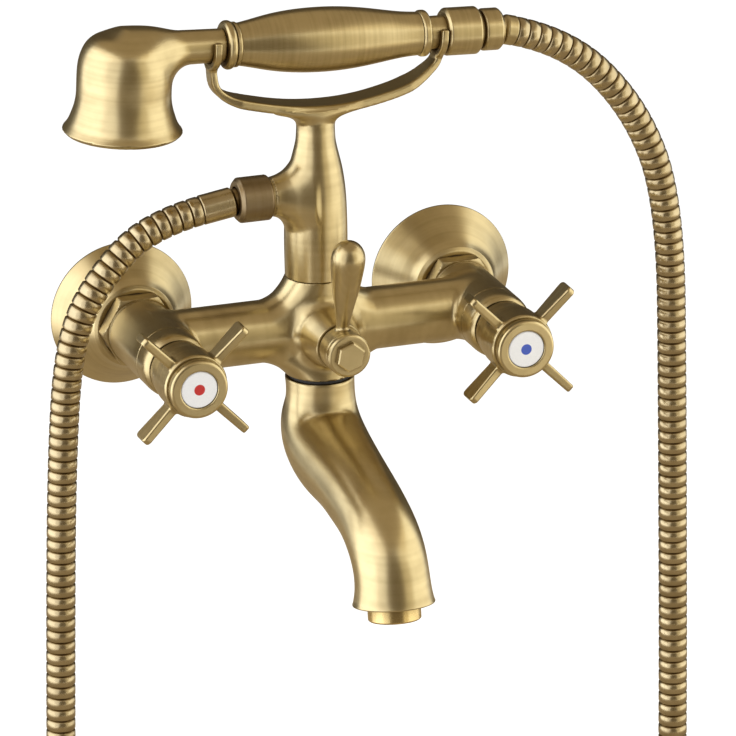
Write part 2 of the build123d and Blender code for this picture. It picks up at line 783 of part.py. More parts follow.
# Handle screws, index caps and index discs
for side, x in sides:
    with BuildPart() as screw:
        half_section = outline(valve_plane(x), (
            (0, handle_web_front - handle_screw_shank),
            (spindle_tap_radius - thread_clearance, handle_web_front - handle_screw_shank),
            (spindle_tap_radius - thread_clearance, handle_web_front),
            (handle_screw_radius, handle_web_front),
            (handle_screw_radius, handle_web_front + handle_screw_head),
            (0, handle_web_front + handle_screw_head),
        ))
        revolve(half_section, axis=valve_axis(x))
        with BuildSketch(face_plane(x, handle_web_front + handle_screw_head)):
            RegularPolygon(handle_screw_key / 2, 6, major_radius=False)
        extrude(amount=-handle_screw_head / 2, mode=Mode.SUBTRACT)
    screw.part.label = f"handle_screw_{side}"
    export_step(screw.part, f"parts/handle_screw_{side}.step")

    cap_front = handle_front + cap_length
    disc_back = cap_front - cap_recess_length
    with BuildPart() as cap:
        half_section = outline(valve_plane(x), (
            (cap_bore_radius, handle_front - cap_nose_length),
            (handle_recess_radius - thread_clearance, handle_front - cap_nose_length),
            (handle_recess_radius - thread_clearance, handle_front),
            (cap_radius, handle_front),
            (cap_radius, cap_front - cap_chamfer),
            (cap_radius - cap_chamfer, cap_front),
            (index_radius + thread_clearance, cap_front),
            (index_radius + thread_clearance, disc_back),
            (cap_bore_radius, disc_back),
        ))
        revolve(half_section, axis=valve_axis(x))
    cap.part.label = f"index_cap_{side}"
    export_step(cap.part, f"parts/index_cap_{side}.step")

    with BuildPart() as index:
        half_section = outline(valve_plane(x), (
            (0, disc_back),
            (index_radius, disc_back),
            (index_radius, disc_back + index_thickness - index_bevel),
            (index_radius - index_bevel, disc_back + index_thickness),
            (0, disc_back + index_thickness),
        ))
        revolve(half_section, axis=valve_axis(x))
    index.part.label = f"index_disc_{side}"
    export_step(index.part, f"parts/index_disc_{side}.step")

# Diverter gland, screwed into the boss
gland_back = boss_front - gland_length
with BuildPart() as gland:
    gland_ring = sleeve(
        valve_plane(0), spindle_radius + spindle_bore_clearance,
        diverter_cavity_radius - thread_clearance, gland_back, boss_front,
    )
    revolve(gland_ring, axis=valve_axis(0))
gland.part.label = "diverter_gland"
export_step(gland.part, "parts/diverter_gland.step")

# Diverter spindle: half-round paddle, round shaft with a groove, splined front
with BuildPart() as diverter_spindle:
    half_section = outline(valve_plane(0), (
        (0, paddle_back),
        (spindle_radius, paddle_back),
        (spindle_radius, diverter_ring_depth - spindle_ring_minor),
        (spindle_radius - 2 * spindle_ring_minor, diverter_ring_depth - spindle_ring_minor),
        (spindle_radius - 2 * spindle_ring_minor, diverter_ring_depth + spindle_ring_minor),
        (spindle_radius, diverter_ring_depth + spindle_ring_minor),
        (spindle_radius, lever_hub_back),
        (spline_radius, lever_hub_back),
        (spline_radius, diverter_shaft_front),
        (0, diverter_shaft_front),
    ))
    revolve(half_section, axis=valve_axis(0))
    with BuildSketch(face_plane(0, paddle_back)):
        Circle(paddle_radius)
        with Locations((0, -paddle_thickness / 2)):
            Rectangle(
                2 * paddle_radius, 2 * paddle_radius, align=(Align.CENTER, Align.MIN), mode=Mode.INTERSECT
            )
    extrude(amount=paddle_length)
diverter_spindle.part.label = "diverter_spindle"
export_step(diverter_spindle.part, "parts/diverter_spindle.step")

with BuildPart() as diverter_ring:
    with BuildSketch(valve_plane(0)):
        with Locations((spindle_radius - spindle_ring_minor, diverter_ring_depth)):
            Circle(spindle_ring_minor)
    revolve(axis=valve_axis(0))
diverter_ring.part.label = "diverter_ring"
export_step(diverter_ring.part, "parts/diverter_ring.step")

# Diverter lever: turned hub and a drop-shaped arm that leans forward
lever_run = lever_tip_depth - lever_root_depth
lever_rise = lever_tip_height - lever_root_height
lever_length = math.hypot(lever_run, lever_rise)
lever_direction = Vector(0, -lever_run, lever_rise).normalized()
lever_across = Vector(0, -lever_rise, -lever_run).normalized()
lever_origin = Vector(0, -lever_root_depth, axis_z + lever_root_height)
with BuildPart() as lever:
    hub = outline(valve_plane(0), (
        (spline_radius + thread_clearance, lever_hub_back),
        (lever_hub_radius - lever_hub_fillet, lever_hub_back),
        (lever_hub_radius, lever_hub_back + lever_hub_fillet),
        (lever_hub_radius, lever_hub_front),
        (diverter_nose_radius + thread_clearance, lever_hub_front),
        (diverter_nose_radius + thread_clearance, lever_hub_front - diverter_nose_length),
        (spline_radius + thread_clearance, lever_hub_front - diverter_nose_length),
    ))
    revolve(hub, axis=valve_axis(0))
    lever_plane = Plane(origin=lever_origin, x_dir=lever_across, z_dir=(-1, 0, 0))
    drop = [(lever_ball_radius * r, lever_length * s) for s, r in lever_curve_shares]
    half_section = curved_outline(lever_plane, [*drop, (0, lever_length)], ((0, 0),))
    revolve(half_section, axis=Axis(lever_origin, lever_direction))
lever.part.label = "diverter_lever"
export_step(lever.part, "parts/diverter_lever.step")

# Diverter cap with a raised hexagon
with BuildPart() as diverter_cap:
    cap_half = outline(valve_plane(0), (
        (0, lever_hub_front - diverter_nose_length),
        (diverter_nose_radius, lever_hub_front - diverter_nose_length),
        (diverter_nose_radius, lever_hub_front),
        (lever_hub_radius, lever_hub_front),
        (lever_hub_radius, diverter_cap_front - diverter_cap_chamfer),
        (lever_hub_radius - diverter_cap_chamfer, diverter_cap_front),
        (0, diverter_cap_front),
    ))
    revolve(cap_half, axis=valve_axis(0))
    with BuildSketch(face_plane(0, diverter_cap_front)):
        RegularPolygon(diverter_key / 2, 6, major_radius=False, rotation=diverter_key_turn)
    extrude(amount=diverter_key_height)
    chamfer(diverter_cap.faces().sort_by(Axis.Y)[0].edges(), length=diverter_key_chamfer)
diverter_cap.part.label = "diverter_cap"
export_step(diverter_cap.part, "parts/diverter_cap.step")

# Spout nipple, screwed into the body, with grooves for two O-rings and the grub screw
with BuildPart() as nipple:
    with BuildSketch(level_plane(0, spout_depth, -nipple_bottom)):
        Circle(nipple_radius)
    extrude(amount=nipple_length)
    with BuildSketch(level_plane(0, spout_depth, -bottom_boss_height)):
        Circle(tail_thread_radius)
    extrude(amount=nipple_thread_length)
    with BuildSketch(level_plane(0, spout_depth, -nipple_bottom)):
        Circle(nipple_bore_radius)
    extrude(amount=nipple_length + nipple_thread_length, mode=Mode.SUBTRACT)
    upright = Plane(origin=(0, -spout_depth, axis_z), x_dir=(1, 0, 0), z_dir=(0, -1, 0))
    for height in spout_ring_heights:
        groove = sleeve(
            upright, nipple_radius - 2 * spout_ring_minor, nipple_radius + cut_overrun,
            height - spout_ring_minor, height + spout_ring_minor,
        )
        revolve(groove, axis=upright_axis(spout_depth), mode=Mode.SUBTRACT)
    groove = sleeve(
        upright, nipple_radius - screw_groove_depth, nipple_radius + cut_overrun,
        screw_groove_height - screw_groove_width / 2, screw_groove_height + screw_groove_width / 2,
    )
    revolve(groove, axis=upright_axis(spout_depth), mode=Mode.SUBTRACT)
nipple.part.label = "spout_nipple"
export_step(nipple.part, "parts/spout_nipple.step")

with BuildPart() as spout_rings:
    with BuildSketch(upright):
        for height in spout_ring_heights:
            with Locations((nipple_radius - spout_ring_minor, height)):
                Circle(spout_ring_minor)
    revolve(axis=upright_axis(spout_depth))
spout_rings.part.label = "spout_rings"
export_step(spout_rings.part, "parts/spout_rings.step")

with BuildPart() as washer:
    washer_ring = sleeve(
        upright, nipple_radius + thread_clearance, washer_radius, -washer_front, -bottom_boss_height
    )
    revolve(washer_ring, axis=upright_axis(spout_depth))
washer.part.label = "spout_washer"
export_step(washer.part, "parts/spout_washer.step")

# Spout: lofted through circles that stand square to its centre line
spout_line = [
    Vector(0, -spout_depth - spout_reach * f, axis_z - spout_top - spout_drop * h)
    for f, h, r in spout_line_shares
]
spout_radii = [spout_belly_radius * r for f, h, r in spout_line_shares]
spout_planes = []
for i, centre in enumerate(spout_line):
    if i in (0, 1):
        heading = Vector(0, 0, -1)
    elif i == len(spout_line) - 1:
        heading = Vector(0, 0, -1).rotate(Axis.X, -spout_mouth_tilt)
    else:
        heading = (spout_line[i + 1] - spout_line[i - 1]).normalized()
    spout_planes.append(Plane(origin=centre, x_dir=(1, 0, 0), z_dir=heading))
with BuildPart() as spout:
    for plane, radius in zip(spout_planes, spout_radii):
        with BuildSketch(plane):
            Circle(radius)
    loft()
    waterway_planes = spout_planes[spout_waterway_start:]
    for plane, share in zip(waterway_planes, spout_waterway_shares):
        with BuildSketch(plane):
            Circle(spout_belly_radius * share)
    loft(mode=Mode.SUBTRACT)
    with BuildSketch(spout_planes[0]):
        Circle(nipple_radius + slip_clearance)
    extrude(amount=nipple_length + cut_overrun, mode=Mode.SUBTRACT)
    with BuildSketch(spout_planes[-1]):
        Circle(aerator_radius + thread_clearance)
    extrude(amount=-aerator_inside, mode=Mode.SUBTRACT)
    with BuildSketch(face_plane(0, spout_depth, screw_groove_height)):
        Circle(grub_radius + thread_clearance)
    extrude(amount=-spout_neck_radius - cut_overrun, mode=Mode.SUBTRACT)
spout.part.label = "spout"
export_step(spout.part, "parts/spout.step")

with BuildPart() as grub:
    grub_tip = nipple_radius - screw_groove_depth + seat_clearance
    with BuildSketch(face_plane(0, spout_depth - grub_tip, screw_groove_height)):
        Circle(grub_radius)
    extrude(amount=-grub_length)
grub.part.label = "spout_screw"
export_step(grub.part, "parts/spout_screw.step")

# Aerator: threaded housing and the perforated insert
outlet_end = spout_planes[-1]
with BuildPart() as aerator:
    with BuildSketch(outlet_end.offset(-aerator_inside)):
        Circle(aerator_radius)
    extrude(amount=aerator_inside + aerator_below)
    chamfer(aerator.faces().sort_by(Axis.Z)[0].edges(), length=aerator_chamfer)
    with BuildSketch(outlet_end.offset(-aerator_inside)):
        Circle(aerator_radius - aerator_wall)
    extrude(amount=aerator_inside + aerator_below, mode=Mode.SUBTRACT)
aerator.part.label = "aerator_housing"
export_step(aerator.part, "parts/aerator_housing.step")

with BuildPart() as insert:
    with BuildSketch(outlet_end.offset(aerator_below - aerator_insert_recess)):
        Circle(aerator_radius - aerator_wall - thread_clearance)
        for ring_radius, holes in aerator_rings:
            with PolarLocations(ring_radius, holes):
                Circle(aerator_hole_radius, mode=Mode.SUBTRACT)
    extrude(amount=-aerator_insert_length)
insert.part.label = "aerator_insert"
export_step(insert.part, "parts/aerator_insert.step")

# Riser: pillar, side outlet and the cradle with its two forks, one casting
riser_upright = Plane(origin=(0, -riser_depth, axis_z), x_dir=(1, 0, 0), z_dir=(0, -1, 0))


def cradle_point(share):
    """Place on the cradle's centre line from its shares of reach and height."""
    reach = cradle_right if share[0] > 0 else -cradle_left
    return Vector(reach * share[0], riser_top + (handset_height - riser_top) * share[1])


cradle_line = [cradle_point(share) for share in cradle_line_shares]
with BuildPart() as riser:
    curve = [
        (riser_radius * r, riser_bottom + riser_length * h)
        for r, h in riser_curve_shares
    ]
    half_section = curved_outline(riser_upright, curve, ((0, riser_top), (0, riser_bottom)))
    revolve(half_section, axis=upright_axis(riser_depth))
    with BuildSketch(level_plane(0, riser_depth, riser_bottom - riser_thread_length)):
        Circle(riser_thread_radius)
    extrude(amount=riser_thread_length + riser_seam)
    for reach, wide, high, drop in outlet_flare_shares:
        centre = (-outlet_reach * reach, -riser_depth, axis_z + outlet_height + outlet_radius * drop)
        with BuildSketch(Plane(origin=centre, x_dir=(0, 1, 0), z_dir=(-1, 0, 0))):
            Ellipse(outlet_radius * wide, outlet_radius * high)
    loft()
    outlet_face = Plane(
        origin=(-outlet_reach, -riser_depth, axis_z + outlet_height), x_dir=(0, 1, 0), z_dir=(-1, 0, 0)
    )
    with BuildSketch(outlet_face):
        Circle(outlet_thread_radius)
    extrude(amount=outlet_thread_length)
    # cradle bar, thinner and narrower towards the forks
    upper = []
    lower = []
    for i, point in enumerate(cradle_line):
        before = cradle_line[max(i - 1, 0)]
        after = cradle_line[min(i + 1, len(cradle_line) - 1)]
        heading = (after - before).normalized()
        past_taper = abs(cradle_line_shares[i][0]) - cradle_taper_share
        end_share = min(1, max(0, past_taper / (1 - cradle_taper_share)))
        half = (cradle_thickness + (cradle_end_thickness - cradle_thickness) * end_share) / 2
        upper.append((point.X - heading.Y * half, point.Y + heading.X * half))
        lower.append((point.X + heading.Y * half, point.Y - heading.X * half))
    with BuildSketch(riser_upright) as cradle_side:
        with BuildLine():
            Spline(*upper)
            Line(upper[-1], lower[-1])
            Spline(*reversed(lower))
            Line(lower[0], upper[0])
        make_face()
    extrude(amount=cradle_width / 2, both=True)
    for share in cradle_foot_shares:
        height = riser_top + (handset_height - riser_top) * share[0]
        with BuildSketch(level_plane(0, riser_depth, height)):
            Ellipse(riser_radius * share[1], riser_radius * share[2])
    loft()
    for fork in (cradle_left, cradle_right):
        start = fork * cradle_taper_share
        end = fork + math.copysign(cradle_fork_thickness, fork)
        with BuildSketch(level_plane(0, riser_depth, riser_top)):
            for side in (-1, 1):
                with BuildLine():
                    Polyline(
                        (start, side * cradle_width / 2),
                        (end, side * cradle_end_width / 2),
                        (end, side * cradle_width),
                        (start, side * cradle_width),
                        close=True,
                    )
                make_face()
        extrude(amount=handset_height - riser_top, mode=Mode.SUBTRACT)
    # forks: open saddles square to the handset's axis
    for fork in (cradle_left, cradle_right):
        with BuildSketch(across_plane(fork - cradle_fork_thickness / 2)) as saddle:
            Circle(cradle_outer_radius)
            upwards = (Align.CENTER, Align.MIN)
            Rectangle(2 * cradle_outer_radius, cradle_outer_radius, align=upwards, mode=Mode.SUBTRACT)
            Rectangle(2 * cradle_outer_radius, cradle_prong_height, align=upwards)
            Circle(cradle_saddle_radius, mode=Mode.SUBTRACT)
            Rectangle(2 * cradle_saddle_radius, cradle_outer_radius, align=upwards, mode=Mode.SUBTRACT)
            fillet(saddle.vertices().group_by(Axis.Y)[-1], radius=cradle_prong_fillet)
        extrude(amount=cradle_fork_thickness)
        with BuildSketch(across_plane(fork - cradle_fork_thickness)):
            Circle(cradle_saddle_radius)
        extrude(amount=2 * cradle_fork_thickness, mode=Mode.SUBTRACT)
    # water passages
    with BuildSketch(level_plane(0, riser_depth, riser_bottom - riser_thread_length)):
        Circle(riser_bore_radius)
    extrude(amount=riser_bore_top - riser_bottom + riser_thread_length, mode=Mode.SUBTRACT)
    with BuildSketch(outlet_face.offset(outlet_thread_length)):
        Circle(outlet_bore_radius)
    extrude(amount=-outlet_thread_length - outlet_reach, mode=Mode.SUBTRACT)
riser.part.label = "riser"
export_step(riser.part, "parts/riser.step")

# Handset head: bell with a dome, its tube towards the grip, and a hollow inside
head_rim = -head_rim_below
head_plane = handset_plane(head_along)
head_axis = Axis(handset_centre + along * head_along, above)
with BuildPart() as head:
    bell = [(head_rim_radius * r, head_rim + head_height * h) for r, h in head_curve_shares]
    half_section = curved_outline(
        head_plane, bell,
        ((0, head_rim - head_lip), (head_lip_radius, head_rim - head_lip)),
    )
    revolve(half_section, axis=head_axis)
    tube = outline(handset_plane(), (
        (head_along, 0), (head_along, head_tube_root_radius),
        (head_tube_end, head_tube_radius), (head_tube_end, 0),
    ))
    revolve(tube, axis=handset_axis())
    hollow = [
        (head_rim_radius * r - head_wall, head_rim + (head_height - head_wall) * h)
        for r, h in head_curve_shares[:-2]
    ]
    with BuildSketch(head_plane):
        with BuildLine():
            Spline(*hollow[1:])
            Polyline(
                hollow[-1], (0, hollow[-1][1]), (0, head_rim - head_lip - cut_overrun),
                (rose_radius + thread_clearance, head_rim - head_lip - cut_overrun),
                (rose_radius + thread_clearance, head_rim + rose_seat),
                (hollow[1][0], head_rim + rose_seat), hollow[1],
            )
        make_face()
    revolve(axis=head_axis, mode=Mode.SUBTRACT)
    with BuildSketch(across_plane(head_along)):
        Circle(head_tube_radius - head_tube_wall)
    extrude(amount=head_tube_end - head_along, mode=Mode.SUBTRACT)
head.part.label = "handset_head"
export_step(head.part, "parts/handset_head.step")

# Spray face with its rings of holes, set into the bell's mouth
with BuildPart() as rose:
    mouth_centre = handset_centre + along * head_along + above * (head_rim + rose_seat)
    with BuildSketch(Plane(origin=mouth_centre, x_dir=along, z_dir=-above)):
        Circle(rose_radius)
        Circle(rose_hole_radius, mode=Mode.SUBTRACT)
        for ring_radius, holes in rose_rings:
            with PolarLocations(ring_radius, holes):
                Circle(rose_hole_radius, mode=Mode.SUBTRACT)
    extrude(amount=rose_thickness)
rose.part.label = "rose_plate"
export_step(rose.part, "parts/rose_plate.step")

# Inner tube that carries the water through the grip
with BuildPart() as inner_tube:
    with BuildSketch(across_plane(inner_tube_start)):
        Circle(inner_tube_radius)
        Circle(inner_tube_bore, mode=Mode.SUBTRACT)
    extrude(amount=inner_tube_end - inner_tube_start)
inner_tube.part.label = "inner_tube"
export_step(inner_tube.part, "parts/inner_tube.step")

# Turned rings at both ends of the grip, and the grip itself
left_ring_end = left_ring_start + left_ring_length
bore = inner_tube_radius + thread_clearance
with BuildPart() as left_ring:
    large = left_ring_radius - ring_rounding
    half_section = outline(handset_plane(), (
        (left_ring_start, bore),
        (left_ring_start, large),
        (left_ring_start + ring_rounding, left_ring_radius),
        (left_ring_end - ring_rounding, left_ring_radius),
        (left_ring_end, large),
        (left_ring_end, small_ring_radius),
        (left_ring_end + small_ring_length, small_ring_radius),
        (left_ring_end + small_ring_length, bore),
    ))
    revolve(half_section, axis=handset_axis())
left_ring.part.label = "ring_left"
export_step(left_ring.part, "parts/ring_left.step")

grip_start = left_ring_end + small_ring_length
with BuildPart() as grip:
    curve = [
        (grip_start + (grip_end - grip_start) * s, grip_radius * r)
        for s, r in grip_curve_shares
    ]
    half_section = curved_outline(handset_plane(), curve, ((grip_end, bore), (grip_start, bore)))
    revolve(half_section, axis=handset_axis())
grip.part.label = "grip"
export_step(grip.part, "parts/grip.step")

right_ring_end = grip_end + right_ring_length
with BuildPart() as right_ring:
    large = right_ring_radius - ring_rounding
    half_section = outline(handset_plane(), (
        (grip_end, bore),
        (grip_end, large),
        (grip_end + ring_rounding, right_ring_radius),
        (right_ring_end - ring_rounding, right_ring_radius),
        (right_ring_end, large),
        (right_ring_end, right_neck_radius),
        (collar_start, right_neck_radius),
        (collar_start, bore),
    ))
    revolve(half_section, axis=handset_axis())
right_ring.part.label = "ring_right"
export_step(right_ring.part, "parts/ring_right.step")

thread_end = collar_end + handset_thread_length
with BuildPart() as collar:
    half_section = outline(handset_plane(), (
        (collar_start, bore),
        (collar_start, collar_radius - collar_chamfer),
        (collar_start + collar_chamfer, collar_radius),
        (collar_end - collar_chamfer, collar_radius),
        (collar_end, collar_radius - collar_chamfer),
        (collar_end, handset_thread_radius),
        (thread_end, handset_thread_radius),
        (thread_end, inner_tube_bore),
        (inner_tube_end, inner_tube_bore),
        (inner_tube_end, bore),
    ))
    revolve(half_section, axis=handset_axis())
collar.part.label = "collar"
export_step(collar.part, "parts/collar.step")

# Hose nut on the handset
hose_nut_end = hose_nut_start + hose_nut_length
with BuildPart() as handset_nut:
    half_section = outline(handset_plane(), (
        (hose_nut_start, handset_thread_radius + thread_clearance),
        (hose_nut_start, hose_nut_radius - hose_nut_chamfer / 2),
        (hose_nut_start + hose_nut_chamfer / 2, hose_nut_radius),
        (hose_nut_end - hose_nut_chamfer, hose_nut_radius),
        (hose_nut_end, hose_nut_radius - hose_nut_chamfer),
        (hose_nut_end, ferrule_neck_radius + ferrule_hole_clearance),
        (hose_nut_end - hose_nut_end_wall, ferrule_neck_radius + ferrule_hole_clearance),
        (hose_nut_end - hose_nut_end_wall, handset_thread_radius + thread_clearance),
    ))
    revolve(half_section, axis=handset_axis())
handset_nut.part.label = "handset_nut"
export_step(handset_nut.part, "parts/handset_nut.step")


def ferrule_section(plane, length, flange_radius, flange_back):
    """Half section of a hose ferrule: flange, neck, barrel with a socket for the hose."""
    return outline(plane, (
        (-flange_back, ferrule_bore_radius),
        (-flange_back, flange_radius),
        (-flange_back + ferrule_flange_thickness, flange_radius),
        (-flange_back + ferrule_flange_thickness, ferrule_neck_radius),
        (ferrule_gap, ferrule_neck_radius),
        (ferrule_gap + ferrule_radius - ferrule_neck_radius, ferrule_radius),
        (length - ferrule_chamfer, ferrule_radius),
        (length, ferrule_radius - ferrule_chamfer),
        (length, hose_spigot_radius + thread_clearance),
        (length - hose_socket_depth, hose_spigot_radius + thread_clearance),
        (length - hose_socket_depth, ferrule_bore_radius),
    ))


# Ferrule at the handset, which droops with the hose
right_pivot = handset_centre + along * hose_nut_end
right_droop = math.radians(ferrule_droop)
right_run = Vector(math.cos(right_droop), 0, -math.sin(right_droop))
with BuildPart() as handset_ferrule:
    right_plane = Plane(origin=right_pivot, x_dir=right_run, z_dir=(0, -1, 0))
    half_section = ferrule_section(right_plane, ferrule_length, ferrule_flange_radius, ferrule_neck_length)
    revolve(half_section, axis=Axis(right_pivot, right_run))
handset_ferrule.part.label = "handset_ferrule"
export_step(handset_ferrule.part, "parts/handset_ferrule.step")

# Hose nut and ferrule at the riser's outlet
riser_nut_end = riser_nut_start + riser_nut_length
outlet_axis = Axis((0, -riser_depth, axis_z + outlet_height), (-1, 0, 0))
outlet_plane = Plane(origin=outlet_axis.position, x_dir=(-1, 0, 0), z_dir=(0, 1, 0))
with BuildPart() as riser_nut:
    half_section = outline(outlet_plane, (
        (riser_nut_start, outlet_thread_radius + thread_clearance),
        (riser_nut_start, riser_nut_radius - riser_nut_chamfer / 2),
        (riser_nut_start + riser_nut_chamfer / 2, riser_nut_radius),
        (riser_nut_end - riser_nut_chamfer, riser_nut_radius),
        (riser_nut_end, riser_nut_radius - riser_nut_chamfer),
        (riser_nut_end, ferrule_neck_radius + riser_hole_clearance),
        (riser_nut_end - riser_nut_end_wall, ferrule_neck_radius + riser_hole_clearance),
        (riser_nut_end - riser_nut_end_wall, outlet_thread_radius + thread_clearance),
    ))
    revolve(half_section, axis=outlet_axis)
riser_nut.part.label = "riser_nut"
export_step(riser_nut.part, "parts/riser_nut.step")

left_pivot = Vector(-riser_nut_end, -riser_depth, axis_z + outlet_height)
left_droop = math.radians(riser_ferrule_droop)
left_run = Vector(-math.cos(left_droop), 0, -math.sin(left_droop))
with BuildPart() as riser_ferrule:
    left_plane = Plane(origin=left_pivot, x_dir=left_run, z_dir=(0, 1, 0))
    half_section = ferrule_section(
        left_plane, riser_ferrule_length, riser_ferrule_flange_radius, riser_ferrule_neck_length
    )
    revolve(half_section, axis=Axis(left_pivot, left_run))
riser_ferrule.part.label = "riser_ferrule"
export_step(riser_ferrule.part, "parts/riser_ferrule.step")

# Hose route: straight runs joined by the largest arcs that the runs allow
right_end = right_pivot + right_run * (ferrule_length - hose_socket_depth)
left_end = left_pivot + left_run * (riser_ferrule_length - hose_socket_depth)
route = [right_end, right_end + right_run * hose_first_run]
route += [Vector(x, -riser_depth, axis_z + z) for x, z in hose_points]
route += [left_end + left_run * hose_last_run, left_end]
route_radii = []
for before, corner, after in zip(route, route[1:], route[2:]):
    turn = math.radians((corner - before).get_angle(after - corner))
    shorter = min((corner - before).length, (after - corner).length)
    route_radii.append(route_share * shorter / math.tan(turn / 2))
with BuildLine() as hose_line:
    FilletPolyline(*route, radius=route_radii)
hose_path = hose_line.wires()[0]
hose_length = hose_path.length
print("hose radii", [round(radius, 1) for radius in route_radii])
print("hose runs", [round((b - a).length, 1) for a, b in zip(route, route[1:])])
print("hose length", round(hose_length, 1))
rib_pitch = hose_length / hose_rib_count
# straight stretches where the hose is divided into three
divides = (0, hose_length * hose_right_share, hose_length * hose_left_share, hose_length)
for name, start, end in zip(("right", "loop", "left"), divides, divides[1:]):
    ribs_from = start + (hose_socket_depth if start == 0 else 0)
    ribs_to = end - (hose_socket_depth if end == hose_length else 0)
    ribs = round((ribs_to - ribs_from) / rib_pitch)
    pitch = (ribs_to - ribs_from) / ribs
    stations = []
    if start == 0:
        stations += [(0, hose_spigot_radius), (hose_socket_depth, hose_spigot_radius)]
    for rib in range(ribs):
        for share, crown in hose_rib_shares:
            radius = hose_radius if crown else hose_waist_radius
            stations.append((ribs_from + (rib + share) * pitch, radius))
    stations.append((ribs_to, hose_waist_radius))
    if end == hose_length:
        stations[-1] = (ribs_to, hose_spigot_radius)
        stations.append((hose_length, hose_spigot_radius))
    with BuildPart() as hose:
        rings = []
        bores = []
        reached = -hose_length
        for distance, radius in stations:
            centre = hose_path.position_at(distance, position_mode=PositionMode.LENGTH)
            heading = hose_path.tangent_at(distance, position_mode=PositionMode.LENGTH)
            section = Plane(origin=centre, x_dir=(0, 1, 0), z_dir=heading)
            with BuildSketch(section) as ring:
                Circle(radius)
            rings.append(ring.sketch)
            if distance > reached:
                with BuildSketch(section) as ring:
                    Circle(hose_bore_radius)
                bores.append(ring.sketch)
                reached = distance
        loft(sections=rings, ruled=True)
        loft(sections=bores, ruled=True, mode=Mode.SUBTRACT)
    hose.part.label = f"hose_{name}"
    export_step(hose.part, f"parts/hose_{name}.step")
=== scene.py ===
"""Wall-mounted bath shower mixer with cross handles, lever diverter, swan spout and a
handset on a cradle, joined by a ribbed hose. Lengths in the shape functions are
millimetres in the row frame: X along the wall, +Y into the wall, +Z up. The body's bar
lies AXIS_Z above the wall threads, and depths are measured out of the wall, along -Y."""

import json
import math

import bpy
import numpy as np
from bpy.props import FloatProperty, FloatVectorProperty, IntProperty, PointerProperty
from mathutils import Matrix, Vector


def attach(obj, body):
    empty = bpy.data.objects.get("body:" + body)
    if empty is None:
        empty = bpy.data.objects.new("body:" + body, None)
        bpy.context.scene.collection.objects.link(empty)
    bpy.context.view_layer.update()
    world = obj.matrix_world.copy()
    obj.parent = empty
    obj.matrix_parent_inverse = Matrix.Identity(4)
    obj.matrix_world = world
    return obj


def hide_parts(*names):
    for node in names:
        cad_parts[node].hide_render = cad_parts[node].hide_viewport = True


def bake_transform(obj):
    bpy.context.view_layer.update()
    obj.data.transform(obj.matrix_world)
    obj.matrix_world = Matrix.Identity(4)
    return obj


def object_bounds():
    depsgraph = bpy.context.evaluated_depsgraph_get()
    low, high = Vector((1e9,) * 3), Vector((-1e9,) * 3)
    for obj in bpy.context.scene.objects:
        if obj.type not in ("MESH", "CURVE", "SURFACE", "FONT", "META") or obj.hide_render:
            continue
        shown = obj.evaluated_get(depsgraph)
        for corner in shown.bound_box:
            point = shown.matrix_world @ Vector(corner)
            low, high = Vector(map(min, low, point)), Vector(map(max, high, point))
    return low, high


bl_info = {
    "name": "Bath shower mixer",
    "version": (1, 0, 0),
    "blender": (4, 5, 0),
    "location": "View3D > Sidebar > Mixer",
    "description": "Builds the mixer's castings, turned pieces, hose, finishes and studio",
    "category": "Add Mesh",
}

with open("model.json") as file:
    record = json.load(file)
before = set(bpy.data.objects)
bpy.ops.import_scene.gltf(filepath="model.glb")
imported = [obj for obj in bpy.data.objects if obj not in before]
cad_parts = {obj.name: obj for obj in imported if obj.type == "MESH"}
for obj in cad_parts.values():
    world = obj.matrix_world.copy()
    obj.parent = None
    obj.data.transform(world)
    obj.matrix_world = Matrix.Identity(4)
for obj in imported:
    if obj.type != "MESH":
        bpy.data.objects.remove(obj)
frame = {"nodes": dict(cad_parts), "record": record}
cad_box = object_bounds()

MM = 0.001
SHARP = 38.0  # degrees: an edge that turns more than this is shaded as an edge
AXIS_Z = 8.0
HALF_SPACING = 75.0
OUT = np.array((0.0, -1.0, 0.0))
UP = np.array((0.0, 0.0, 1.0))
SIDES = (("left", -HALF_SPACING, "hot_handle"), ("right", HALF_SPACING, "cold_handle"))

# Heights above the bar's axis, lengths along the handset from the riser's axis
TILT = math.radians(2.76)
ALONG = np.array((math.cos(TILT), 0.0, -math.sin(TILT)))
ABOVE = np.array((math.sin(TILT), 0.0, math.cos(TILT)))
RISER_DEPTH = 45.3
OUTLET_HEIGHT = 61.6
HANDSET_HEIGHT = 130.9
HANDSET = np.array((0.0, -RISER_DEPTH, AXIS_Z + HANDSET_HEIGHT))
HEAD_PLACE = -86.6
HEAD = HANDSET + ALONG * HEAD_PLACE
CRADLE_LEFT = 47.5
CRADLE_RIGHT = 56.5
SPOUT_DEPTH = 50.0
HOUSING_RADIUS = 14.75
HOUSING_FRONT = 66.0
BAR_DEPTH = 45.0
BAR_RADIUS = 13.8
WALL_COVER_RADIUS = 32.5

# Route of the hose, X and Z in metres, from the handset's ferrule to the riser's
HOSE_DEPTH = -0.0453
HOSE_ROUTE = (
    (0.089171, 0.133795), (0.115927, 0.126626), (0.149, 0.0927), (0.167, 0.0465),
    (0.1695, -0.0504), (0.1726, -0.2399), (0.171, -0.4174), (0.0859, -0.5025), (-0.0344, -0.5025),
    (-0.1195, -0.4174), (-0.1211, -0.287), (-0.1198, -0.152), (-0.118, -0.044), (-0.1135, 0.0162),
    (-0.098, 0.0435), (-0.074927, 0.063593), (-0.050038, 0.067535),
)
HOSE_DIAMETER = 0.013
CHUNK = 6000  # points that a distance field handles at a time

